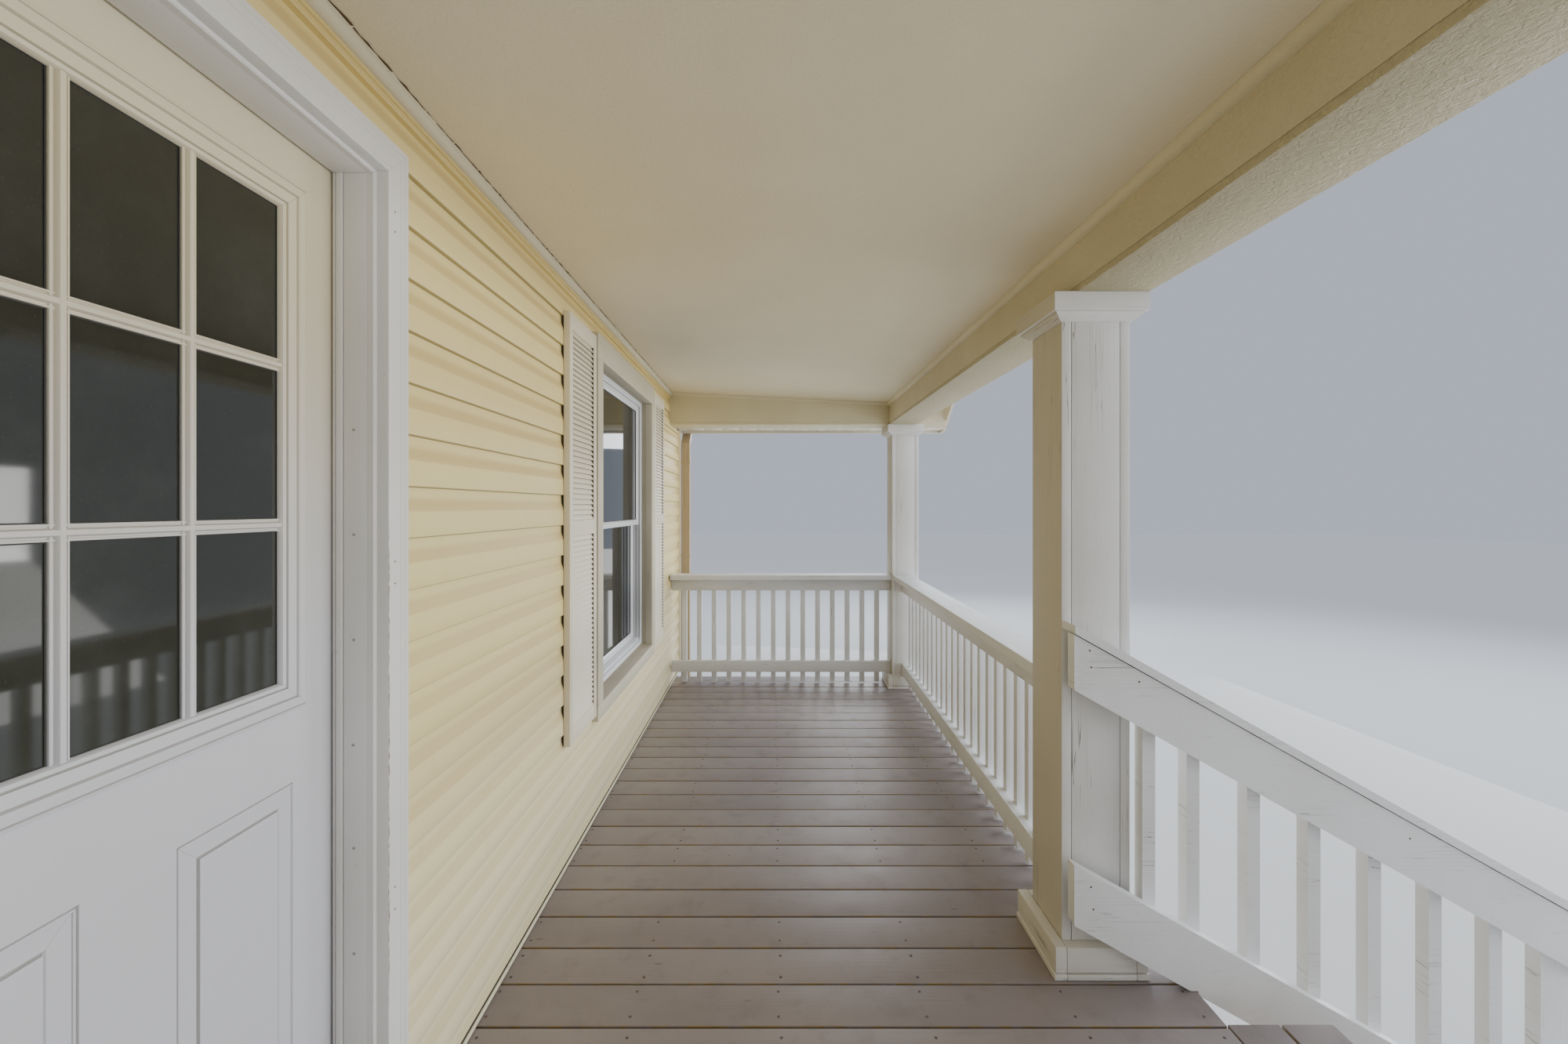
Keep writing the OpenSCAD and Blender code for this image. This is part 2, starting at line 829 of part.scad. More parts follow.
module shutters() {
    color(white) place() {
        shutter(window_x - shutter_x);
        shutter(window_x + shutter_x);
    }
}

module deck_floor() {
    color(deck_color) place()
        box([-deck_x, deck_front_y, deck_h - board_t], [deck_x, sheath_y, deck_h]);
}

// White rim boards under the deck's front and ends
module deck_rim() {
    top = deck_h - board_t;
    front = deck_front_y + rim_in;
    end = deck_x - rim_in;
    color(white) place() {
        box([-end, front, top - rim_h], [end, front + rail_t, top]);
        both()
            box([end - rail_t, front + rail_t + joint, top - rim_h], [end, sheath_y - joint, top]);
    }
}

// Joists along X between the end rims, with a ledger at the wall
module deck_joists() {
    top = deck_h - board_t;
    end = deck_x - rim_in - rail_t - joint;
    back = sheath_y - rail_t;
    n = floor((back - deck_front_y) / joist_pitch);
    color(lumber_color) place()
        for (i = [0 : n - 1])
            box([-end, back - i * joist_pitch, top - joist_h],
                [end, back - i * joist_pitch + rail_t, top]);
}

// Beams under the joists, each on a block pier at the front
module deck_piers() {
    top = deck_h - board_t - joist_h;
    low = top - joist_h;
    beam_end_y = deck_front_y + rim_in + rail_t + joint;
    color(block_color) place()
        for (x = [-corner_x, stair_x, middle_post_x, (middle_post_x + corner_x) / 2, corner_x]) {
            box([x - rail_t, beam_end_y, low], [x + rail_t, sheath_y - joint, top]);
            box([x - pier_w / 2, post_y - pier_l / 2, 0], [x + pier_w / 2, post_y + pier_l / 2, low]);
        }
}

// Places children at each post's centre
module each_post() {
    for (x = [-corner_x, corner_x])
        translate([x, post_y, 0]) children();
    translate([middle_post_x, post_y + middle_post_in, 0]) children();
}

// Square block around a post, cut out for the post and a small clearance
module collar(side, z0, z1) {
    bore = post_w + 2 * fit;
    difference() {
        translate([0, 0, (z0 + z1) / 2]) cube([side, side, z1 - z0], center = true);
        translate([0, 0, (z0 + z1) / 2]) cube([bore, bore, z1 - z0 + 2], center = true);
    }
}

module posts() {
    color(white) place()
        each_post()
            translate([0, 0, deck_h + post_h / 2]) cube([post_w, post_w, post_h], center = true);
}

module plinths() {
    color(white) place()
        each_post() collar(post_w + 2 * collar_t, deck_h, deck_h + plinth_h);
}

// Block under the beam with a bevelled piece below it
module capitals() {
    half = post_w / 2;
    wide = half + collar_t;
    inside = half + fit;
    block_z = beam_z - capital_h;
    step = 8;
    lip = 2;
    bevel_points = [
        [inside + lip, block_z - bevel_h], [wide - step, block_z],
        [step - wide, block_z], [-inside - lip, block_z - bevel_h]
    ];
    color(white) place()
        each_post()
            difference() {
                union() {
                    box([-wide, -wide, block_z], [wide, wide, beam_z]);
                    intersection() {
                        along_y(-wide, wide) polygon(bevel_points);
                        rotate([0, 0, 90]) along_y(-wide, wide) polygon(bevel_points);
                    }
                }
                box(
                    [-inside, -inside, block_z - 2 * bevel_h],
                    [inside, inside, beam_z + bevel_h]
                );
            }
}

module front_beam() {
    color(cream) place()
        box([-beam_out_x, beam_out_y, beam_z], [beam_out_x, beam_in_y, beam_top]);
}

module end_beams() {
    color(cream) place()
        both()
            box([beam_in_x, beam_in_y, beam_z], [beam_out_x, sheath_y, beam_top]);
}

// Ceiling, falling a little towards the front
module ceiling() {
    color(cream) place()
        along_x(-beam_in_x, beam_in_x)
            polygon([
                [beam_in_y, ceiling_z(beam_in_y)], [sheath_y, ceiling_z(sheath_y)],
                [sheath_y, ceiling_z(sheath_y) + ceiling_t],
                [beam_in_y, ceiling_z(beam_in_y) + ceiling_t]
            ]);
}

// Strips in the corners between the ceiling and the beams and wall
module ceiling_trim() {
    end = beam_in_x - trim_w - joint;
    front_y = beam_in_y + trim_w;
    edge = trim_w / 4;
    color(cream) place() translate([0, 0, -fit]) {
        along_x(-end, end)
            polygon([
                [beam_in_y, ceiling_z(beam_in_y) - trim_w], [front_y, ceiling_z(front_y) - edge],
                [front_y, ceiling_z(front_y)], [beam_in_y, ceiling_z(beam_in_y)]
            ]);
        along_x(-end, end)
            polygon([
                [-trim_w, ceiling_z(-trim_w) - edge], [0, ceiling_z(0) - trim_w],
                [0, ceiling_z(0)], [-trim_w, ceiling_z(-trim_w)]
            ]);
        both()
            along_x(beam_in_x - trim_w, beam_in_x)
                polygon([
                    [beam_in_y, ceiling_z(beam_in_y) - trim_w], [0, ceiling_z(0) - trim_w],
                    [0, ceiling_z(0)], [beam_in_y, ceiling_z(beam_in_y)]
                ]);
    }
}

// Level soffits under the eaves and sloping ones under the rakes
module soffits() {
    z = soffit_z;
    return_x = eave_x - return_w;
    panel_rise = soffit_t / cos(roof_pitch);
    color(white) place()
        both() {
            box([beam_out_x, beam_out_y, z], [eave_x - fascia_t, 0, z + soffit_t]);
            box([return_x, rake_y + fascia_t, z], [eave_x - fascia_t, beam_out_y + 1, z + soffit_t]);
            box([wall_half + siding_t, -1, z], [eave_x - fascia_t, wall_back_y, z + soffit_t]);
            along_y(rake_y + fascia_t, beam_out_y - siding_t)
                polygon([
                    [joint, roof_z(joint) - panel_rise],
                    [return_x - joint, roof_z(return_x - joint) - panel_rise],
                    [return_x - joint, roof_z(return_x - joint)], [joint, roof_z(joint)]
                ]);
        }
}

// Fascias along the eaves and rake boards up the gable
module fascia_boards() {
    low = eave_z - fascia_h;
    rake_rise = rake_h / cos(roof_pitch);
    cut_x = eave_x - (fascia_h - rake_rise) / -tan(roof_pitch);
    color(white) place()
        both() {
            box([eave_x - fascia_t, rake_y + fascia_t + joint, low],
                [eave_x, wall_back_y, eave_z]);
            along_y(rake_y, rake_y + fascia_t)
                polygon([
                    [joint, roof_z(joint) - rake_rise], [cut_x, low], [eave_x, low],
                    [eave_x, roof_z(eave_x)], [joint, roof_z(joint)]
                ]);
        }
}

// Front and inner side of the boxed eave at each front corner
module eave_ends() {
    low = soffit_z + soffit_t;
    x0 = eave_x - return_w;
    x1 = eave_x - fascia_t;
    y0 = rake_y + fascia_t;
    color(white) place()
        both() {
            along_y(y0, y0 + fascia_t)
                polygon([[x0, low], [x1, low], [x1, roof_z(x1)], [x0, roof_z(x0)]]);
            along_y(y0, beam_out_y - siding_t)
                polygon([
                    [x0, low], [x0 + wing_t, low], [x0 + wing_t, roof_z(x0 + wing_t)], [x0, roof_z(x0)]
                ]);
        }
}

// Outline of the front gable above the beam, down to the soffits beside it
function gable_outline(base) = [
    [wing_x, base], [wing_x, roof_z(wing_x)], [0, roof_z(0)], [-wing_x, roof_z(wing_x)],
    [-wing_x, base], [-beam_out_x, base], [-beam_out_x, beam_top], [beam_out_x, beam_top],
    [beam_out_x, base]
];

module gable_wall() {
    color(wall_color) place()
        along_y(beam_out_y, beam_out_y + gable_t)
            polygon(gable_outline(soffit_z + soffit_t));
}

// Lap siding on the front gable
module gable_siding() {
    color(wall_color) place()
        intersection() {
            translate([0, beam_out_y - siding_t, 0])
                along_x(-wing_x, wing_x)
                    polygon(siding_outline(beam_top - 3 * course_h, roof_z(0)));
            along_y(beam_out_y - 2 * siding_t, beam_out_y)
                polygon(gable_outline(soffit_z + soffit_t));
        }
}

// Roof boards and shingles of one slope, from ridge to drip edge
module roof_slope() {
    edge = eave_x + drip;
    along_y(rake_y - drip, wall_back_y)
        polygon([
            [0, roof_z(0) + fit], [edge, roof_z(edge) + fit],
            [edge, roof_z(edge) + fit + roof_rise], [0, roof_z(0) + fit + roof_rise]
        ]);
}

module roof_left() {
    color(shingle_color) place() mirror([1, 0, 0]) roof_slope();
}

module roof_right() {
    color(shingle_color) place() roof_slope();
}

module ridge_cap() {
    z = roof_z(0) + roof_rise + 2 * fit;
    x = ridge_w * cos(roof_pitch);
    drop = x * tan(roof_pitch);
    color(shingle_color) place()
        along_y(rake_y - drip, wall_back_y)
            polygon([
                [-x, z - drop], [0, z], [x, z - drop], [x, z - drop + cap_rise],
                [0, z + cap_rise], [-x, z - drop + cap_rise]
            ]);
}

// Outline of the gutter's outer shape, moved in by t
function gutter_outline(t, top) =
    let (
        x0 = eave_x + t,
        x1 = eave_x + gutter_w - t,
        z0 = eave_z - gutter_h + t,
        z1 = eave_z + top,
        foot = 0.3 * gutter_w
    )
    [[x0, z0], [x1 - foot, z0], [x1 - foot, z0 + 0.3 * gutter_h], [x1 - 4, z0 + 0.55 * gutter_h],
     [x1, z0 + 0.7 * gutter_h], [x1, z1], [x0, z1]];

module gutters() {
    y0 = rake_y;
    y1 = wall_back_y;
    drop = -drip * tan(roof_pitch) - 2;
    color(white) place()
        both()
            difference() {
                along_y(y0, y1) polygon(gutter_outline(0, drop));
                along_y(y0 + gutter_t, y1 - gutter_t) polygon(gutter_outline(gutter_t, drop + 2));
            }
}

// Downspout with an offset under the gutter and a kick at the ground
module downspouts() {
    top = eave_z - gutter_h;
    gutter_x = eave_x + 0.35 * gutter_w - spout_w / 2;
    wall_x = wall_half + siding_t + spout_gap;
    neck = spout_w;
    fall = neck + gutter_x - wall_x;
    low = 2 * spout_w;
    kick = 1.4 * spout_w;
    foot = 15;
    color(spout_color) place()
        both()
            bent_strip(-spout_front - spout_d, -spout_front, [
                [gutter_x, top], [gutter_x, top - neck], [wall_x, top - fall], [wall_x, low],
                [wall_x + kick, foot]
            ]);
}

// Flat bend of a downspout: a path of left-hand points drawn spout_w wide
module bent_strip(y0, y1, path) {
    n = len(path);
    along_y(y0, y1)
        polygon(concat(path, [for (i = [n - 1 : -1 : 0]) path[i] + [spout_w, 0]]));
}

// Centres of balusters that fill a length evenly
function baluster_places(length) =
    let (n = round(length / baluster_pitch), gap = (length - n * rail_t) / (n + 1))
    [for (i = [0 : n - 1]) gap + rail_t / 2 + i * (gap + rail_t)];

// Straight railing along +X from 0, with its balusters on the -Y side of its boards
module railing(length) {
    top = deck_h + railing_h;
    board_top = top - cap_t;
    box([0, -rail_t, board_top - rail_h], [length, 0, board_top]);
    box([0, -rail_t, deck_h + lower_rail_z], [length, 0, deck_h + lower_rail_z + rail_h]);
    box([0, -2 * rail_t - cap_out, board_top], [length, cap_in, top]);
    for (x = baluster_places(length))
        box([x - rail_t / 2, -2 * rail_t, deck_h + baluster_z], [x + rail_t / 2, -rail_t + 1, board_top]);
}

// It turns a little, because the middle post stands further in. Its ends are cut
// square to the posts
module front_railing() {
    x0 = middle_post_x + post_w / 2;
    x1 = corner_x - post_w / 2;
    turn = atan(middle_post_in / (x1 - x0));
    overrun = 2 * (2 * rail_t + cap_out + rail_setback) * tan(turn);
    color(white) place()
        intersection() {
            translate([x0, middle_in_y - rail_setback, 0])
                rotate([0, 0, -turn])
                    translate([-overrun / 2, 0, 0]) railing((x1 - x0) / cos(turn) + overrun);
            box([x0, deck_front_y, deck_h], [x1, 0, beam_z]);
        }
}

module end_railings() {
    color(white) place()
        both()
            translate([corner_x - post_w / 2 + rail_setback, post_in_y, 0])
                rotate([0, 0, 90]) railing(-post_in_y);
}

// Level of a line that starts at z by the middle post's inner face and falls with the stairs
function slope_z(z, y) = deck_h + z + (y - middle_in_y) * slope;

// Board that follows the stairs from y0 down to y1, rise high, with its top at z
module slope_board(x0, x1, y0, y1, z, rise) {
    along_x(x0, x1)
        polygon([
            [y0, slope_z(z, y0)], [y1, slope_z(z, y1)],
            [y1, slope_z(z, y1) - rise], [y0, slope_z(z, y0) - rise]
        ]);
}

// Lower sloping board, cut level over the deck's edge and at the ground
module lower_slope_board(x0, x1, y0, y1) {
    rest_z = deck_h + joint;
    function under(y) = slope_z(slope_low, y) - low_rise;
    function meets(z) = y0 + (z - under(y0)) / slope;
    along_x(x0, x1)
        polygon([
            [y0, slope_z(slope_low, y0)], [y1, slope_z(slope_low, y1)], [y1, 0], [meets(0), 0],
            [deck_front_y - joint, under(deck_front_y - joint)],
            [deck_front_y - joint, rest_z], [meets(rest_z), rest_z], [y0, under(y0)]
        ]);
}

// Right-hand stair rail, measured from the stairs' centre line
module stair_rail() {
    x0 = stair_rail_x;
    x1 = x0 + rail_t;
    x2 = x1 + rail_t;
    board_top = slope_top - slope_cap_rise;
    low_end_y = newel_y + newel_w / 2;
    post_gap = 14;
    first_y = middle_out_y - slope_first;
    n = floor((first_y - rail_t - newel_y - newel_w) / slope_pitch);
    places = concat([middle_out_y - post_gap], [for (i = [0 : n]) first_y - i * slope_pitch]);
    tail = 12;
    foot = deck_h + plinth_h + joint;
    slope_board(x0 - 6, x2, middle_in_y, slope_end_y, slope_top, slope_cap_rise);
    slope_board(x0, x1, middle_in_y, slope_end_y, board_top + joint, slope_rise + joint);
    lower_slope_board(x0, x1, middle_in_y, low_end_y);
    for (i = [0 : n + 1])
        let (
            y = places[i],
            top = board_top + joint,
            low = i == 0 ? foot : y > deck_front_y ? deck_h + joint : 0,
            reach = low_rise + tail
        )
        along_x(x1 - joint, x2 - joint)
            polygon([
                [y, slope_z(top, y)], [y - rail_t, slope_z(top, y - rail_t)],
                [y - rail_t, max(low, slope_z(slope_low, y - rail_t) - reach)],
                [y, max(low, slope_z(slope_low, y) - reach)]
            ]);
}

module stair_rails() {
    color(white) place() translate([stair_x, 0, 0]) both() stair_rail();
}

// Newels on the ground, on the outer side of the rail boards and cut to the slope
module newels() {
    board_top = slope_top - slope_cap_rise;
    y1 = newel_y + newel_w;
    x0 = stair_rail_x + rail_t;
    color(white) place()
        translate([stair_x, 0, 0])
            both()
                along_x(x0, x0 + rail_t - joint)
                    polygon([
                        [newel_y, 0], [y1, 0], [y1, slope_z(board_top, y1)],
                        [newel_y, slope_z(board_top, newel_y)]
                    ]);
}

// Saw-toothed stringers under the treads
module stair_stringers() {
    back = deck_front_y + rim_in;
    nose = 20;
    side = stair_w / 2 - nose - rail_t;
    steps = [
        for (i = [0 : risers - 1])
            let (y = run_front_y - i * tread_run + nose, z = deck_h - board_t - i * riser)
            each [[y, z], [y, z - riser]]
    ];
    outline = concat(
        [[back, deck_h - board_t]],
        [for (p = steps) [p[0], max(p[1], 0)]],
        [[last_front_y + tread_d / 2, 0], [back, deck_h - board_t - rim_h]]
    );
    color(lumber_color) place()
        translate([stair_x, 0, 0])
            for (x = [-side, 0, side])
                along_x(x - rail_t / 2, x + rail_t / 2) polygon(outline);
}

module stair_treads() {
    color(deck_color) place()
        translate([stair_x, 0, 0])
            for (i = [0 : risers - 1])
                let (y = run_front_y - i * tread_run, top = deck_h - i * riser)
                box([-stair_w / 2, y, top - board_t], [stair_w / 2, y + tread_d - joint, top]);
}

foundation_wall();
wall_left();
wall_right();
wall_over_door();
wall_gable();
siding();
corner_trim();
door_frame();
door_casing();
door_sill();
door_hinges();
door_leaf();
door_light_frame();
door_glass();
door_knobs();
door_hinge_leaves();
window_frame();
window_casing();
window_sashes();
window_glass();
shutters();
deck_floor();
deck_rim();
deck_joists();
deck_piers();
posts();
plinths();
capitals();
front_beam();
end_beams();
ceiling();
ceiling_trim();
soffits();
fascia_boards();
eave_ends();
gable_wall();
gable_siding();
roof_left();
roof_right();
ridge_cap();
gutters();
downspouts();
front_railing();
end_railings();
stair_rails();
newels();
stair_stringers();
stair_treads();
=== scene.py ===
import math
import random

import bmesh
import bpy
from mathutils import Matrix, Vector


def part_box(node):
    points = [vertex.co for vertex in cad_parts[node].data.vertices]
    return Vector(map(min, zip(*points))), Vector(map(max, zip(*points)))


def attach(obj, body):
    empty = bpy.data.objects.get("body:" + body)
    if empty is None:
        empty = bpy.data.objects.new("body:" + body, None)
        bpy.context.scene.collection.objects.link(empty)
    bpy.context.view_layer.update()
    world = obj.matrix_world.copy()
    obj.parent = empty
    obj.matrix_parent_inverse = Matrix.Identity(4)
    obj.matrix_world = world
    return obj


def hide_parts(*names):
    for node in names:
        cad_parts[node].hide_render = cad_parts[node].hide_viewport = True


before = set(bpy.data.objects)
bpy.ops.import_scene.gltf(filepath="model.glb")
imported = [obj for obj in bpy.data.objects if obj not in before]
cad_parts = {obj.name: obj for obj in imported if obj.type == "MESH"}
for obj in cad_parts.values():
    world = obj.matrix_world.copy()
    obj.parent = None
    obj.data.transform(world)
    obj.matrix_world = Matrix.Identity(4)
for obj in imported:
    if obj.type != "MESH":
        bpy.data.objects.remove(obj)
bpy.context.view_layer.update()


# Camera, floor and light.
# The camera stands on the deck beside the open side of the stairs and looks along the
# porch. The floor is a plain pale studio floor, and the light comes from the street side.
face_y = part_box("siding")[0].y
deck_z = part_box("deck_floor")[1].z
focal_px = 772
vanish_x, horizon_y = 985.5, 647
image_w, image_h = 2000, 1332
eye_x, eye_out, eye_h = -2.272, 0.796, 1.394

camera = bpy.data.cameras.new("camera")
camera.lens = camera.sensor_width * focal_px / image_w
camera.shift_x = (image_w / 2 - vanish_x) / image_w
camera.shift_y = (horizon_y - image_h / 2) / image_w
camera.clip_start = 0.05
viewer = bpy.data.objects.new("camera", camera)
viewer.location = (eye_x, face_y - eye_out, deck_z + eye_h)
viewer.rotation_euler = (math.pi / 2, 0, -math.pi / 2)
bpy.context.scene.collection.objects.link(viewer)
bpy.context.scene.camera = viewer


class Value:
    """A socket of numbers that takes part in plain sums, each of which adds a Math node."""

    def __init__(self, nodes, socket):
        self.nodes = nodes
        self.socket = socket

    def sum(self, operation, *values):
        return self.nodes.add("ShaderNodeMath", {"operation": operation}, dict(enumerate(values)))

    def __add__(self, other):
        return self.sum("ADD", self, other)

    def __radd__(self, other):
        return self.sum("ADD", other, self)

    def __sub__(self, other):
        return self.sum("SUBTRACT", self, other)

    def __rsub__(self, other):
        return self.sum("SUBTRACT", other, self)

    def __mul__(self, other):
        return self.sum("MULTIPLY", self, other)

    def __rmul__(self, other):
        return self.sum("MULTIPLY", other, self)

    def __truediv__(self, other):
        return self.sum("DIVIDE", self, other)

    def __mod__(self, other):
        return self.sum("FLOORED_MODULO", self, other)

    def __abs__(self):
        return self.sum("ABSOLUTE", self)

    def clamp(self):
        return self.sum("MINIMUM", self.sum("MAXIMUM", self, 0), 1)

    def between(self, low, high):
        """0 below low, 1 above high and smooth between them."""
        return self.nodes.add("ShaderNodeMapRange", {"interpolation_type": "SMOOTHSTEP"},
                              {"Value": self, "From Min": low, "From Max": high})


class Nodes:
    """A node tree, for a material or for geometry, that is built one call at a time."""

    def __init__(self, tree):
        self.tree = tree

    def add(self, kind, settings=None, values=None, out=0):
        """Adds a node: settings first, then each socket's value or link. Gives an output."""
        node = self.tree.nodes.new(kind)
        for name, setting in (settings or {}).items():
            if name == "stops":
                self.set_stops(node.color_ramp, setting)
            else:
                setattr(node, name, setting)
        for name, value in (values or {}).items():
            if isinstance(value, Value):
                self.tree.links.new(value.socket, node.inputs[name])
            else:
                node.inputs[name].default_value = value
        return Value(self, node.outputs[out]) if len(node.outputs) else node

    def set_stops(self, ramp, stops):
        while len(ramp.elements) > len(stops):
            ramp.elements.remove(ramp.elements[-1])
        while len(ramp.elements) < len(stops):
            ramp.elements.new(1)
        for element, (place, color) in zip(ramp.elements, stops):
            element.position = place
            element.color = (*color, 1)

    def mix(self, factor, first, second, blend="MIX"):
        """Mixes two colours."""
        return self.add("ShaderNodeMix", {"data_type": "RGBA", "blend_type": blend},
                        {0: factor, 6: first, 7: second}, 2)

    def noise(self, vector, scale, detail=3, rough=0.5, warp=0):
        return self.add("ShaderNodeTexNoise", None, {
            "Vector": vector, "Scale": scale, "Detail": detail, "Roughness": rough,
            "Distortion": warp})

    def stretch(self, vector, scale, shift=(0, 0, 0)):
        """A vector times scale plus shift, where shift may be a tone that sets boards apart."""
        if isinstance(shift, Value):
            shift = self.add("ShaderNodeCombineXYZ", None, {
                "X": shift * 31.7, "Y": shift * 17.3, "Z": shift * 11.1})
        return self.add("ShaderNodeVectorMath", {"operation": "MULTIPLY_ADD"},
                        {0: vector, 1: scale, 2: shift})

    def cells(self, vector, scale, out=0):
        """Distance to the nearest of many scattered points, or as output 1 each one's colour."""
        return self.add("ShaderNodeTexVoronoi", None, {"Vector": vector, "Scale": scale}, out)

    def place(self):
        return self.add("ShaderNodeTexCoord", None, None, "Object")

    def grain(self):
        """Map that runs along each board in metres."""
        return self.add("ShaderNodeUVMap", {"uv_map": "grain"})

    def tone(self):
        """Number from 0 to 1 that sets each board apart."""
        return self.add("ShaderNodeAttribute", {"attribute_name": "tone"}, None, "Fac")

    def parts(self, vector):
        """X, Y and Z of a vector."""
        x = self.add("ShaderNodeSeparateXYZ", None, {"Vector": vector})
        return [Value(self, out) for out in x.socket.node.outputs]


def rgb(text):
    """Scene colour of an sRGB colour written as six hexadecimal digits."""
    parts = [int(text[i:i + 2], 16) / 255 for i in (0, 2, 4)]
    return tuple(c / 12.92 if c < 0.04045 else ((c + 0.055) / 1.055) ** 2.4 for c in parts) + (1,)


def material(name, paint, **constants):
    """A material whose surface paint(nodes) gives as a dict of sockets of the shader."""
    made = bpy.data.materials.new(name)
    made.use_nodes = True
    nodes = Nodes(made.node_tree)
    shader = made.node_tree.nodes["Principled BSDF"]
    for socket, value in constants.items():
        shader.inputs[socket.replace("_", " ")].default_value = value
    for socket, value in paint(nodes).items():
        if isinstance(value, Value):
            made.node_tree.links.new(value.socket, shader.inputs[socket])
        else:
            shader.inputs[socket].default_value = value
    return made


def bump(nodes, height, distance, strength=1):
    """The normal of a surface that rises by distance where height is 1."""
    return nodes.add("ShaderNodeBump", None, {
        "Height": height, "Distance": distance, "Strength": strength})


sky_blue = rgb("e2ebfb")
sky_strength, floor_glow, floor_side = 0.66, 0.32, 80


def paint_floor(nodes):
    mottle = nodes.noise(nodes.place(), 0.8)
    return {"Base Color": nodes.mix(mottle, rgb("bcbbb8"), rgb("c2c1be")), "Roughness": 0.9}


bpy.ops.mesh.primitive_plane_add(size=floor_side)
floor = bpy.context.object
floor.name = "studio_floor"
floor.data.materials.append(material("studio floor", paint_floor, Emission_Color=sky_blue,
                                     Emission_Strength=floor_glow))

world = bpy.data.worlds.new("soft light")
world.use_nodes = True
background = world.node_tree.nodes["Background"]
background.inputs["Color"].default_value = sky_blue
background.inputs["Strength"].default_value = sky_strength
bpy.context.scene.world = world


def soft_light(name, place, aim, size, power, color):
    """A wide lamp at place that shines towards aim and doesn't show itself."""
    lamp = bpy.data.lights.new(name, "AREA")
    lamp.shape = "RECTANGLE"
    lamp.size, lamp.size_y = size
    lamp.energy = power
    lamp.color = color
    lit = bpy.data.objects.new(name, lamp)
    lit.location = place
    lit.rotation_euler = (Vector(aim) - Vector(place)).to_track_quat("-Z", "Y").to_euler()
    lit.visible_camera = False
    bpy.context.scene.collection.objects.link(lit)


cool, pale, white, warm = (0.8, 0.9, 1), (0.9, 0.95, 1), (1, 0.995, 0.98), (1, 0.98, 0.93)
soft_light("street_light", (1.5, -9, 6.5), (0.3, 0.5, 1.2), (9, 5), 780, cool)
soft_light("front_light", (0.5, -22, 1.7), (0.3, 0, 1.7), (34, 3), 3200, white)
soft_light("end_light", (9.5, -2.5, 5), (1.5, 0, 1), (5, 4), 360, pale)
soft_light("floor_light", (0, -4.5, 0.15), (0, -1.5, 3.5), (9, 4), 310, warm)
soft_light("left_floor_light", (-6, -0.5, 0.15), (-3, 0, 2.8), (4, 3), 45, warm)
soft_light("right_floor_light", (6, -0.5, 0.15), (3, 0, 2.8), (4, 3), 55, warm)

# The front light leaves out the floor, so that no bright patch shows on it far away.
floor_only = bpy.data.collections.new("floor only")
floor_only.objects.link(floor)
front = bpy.data.objects["front_light"]
front.light_linking.receiver_collection = floor_only
floor_only.collection_objects[0].light_linking.link_state = "EXCLUDE"


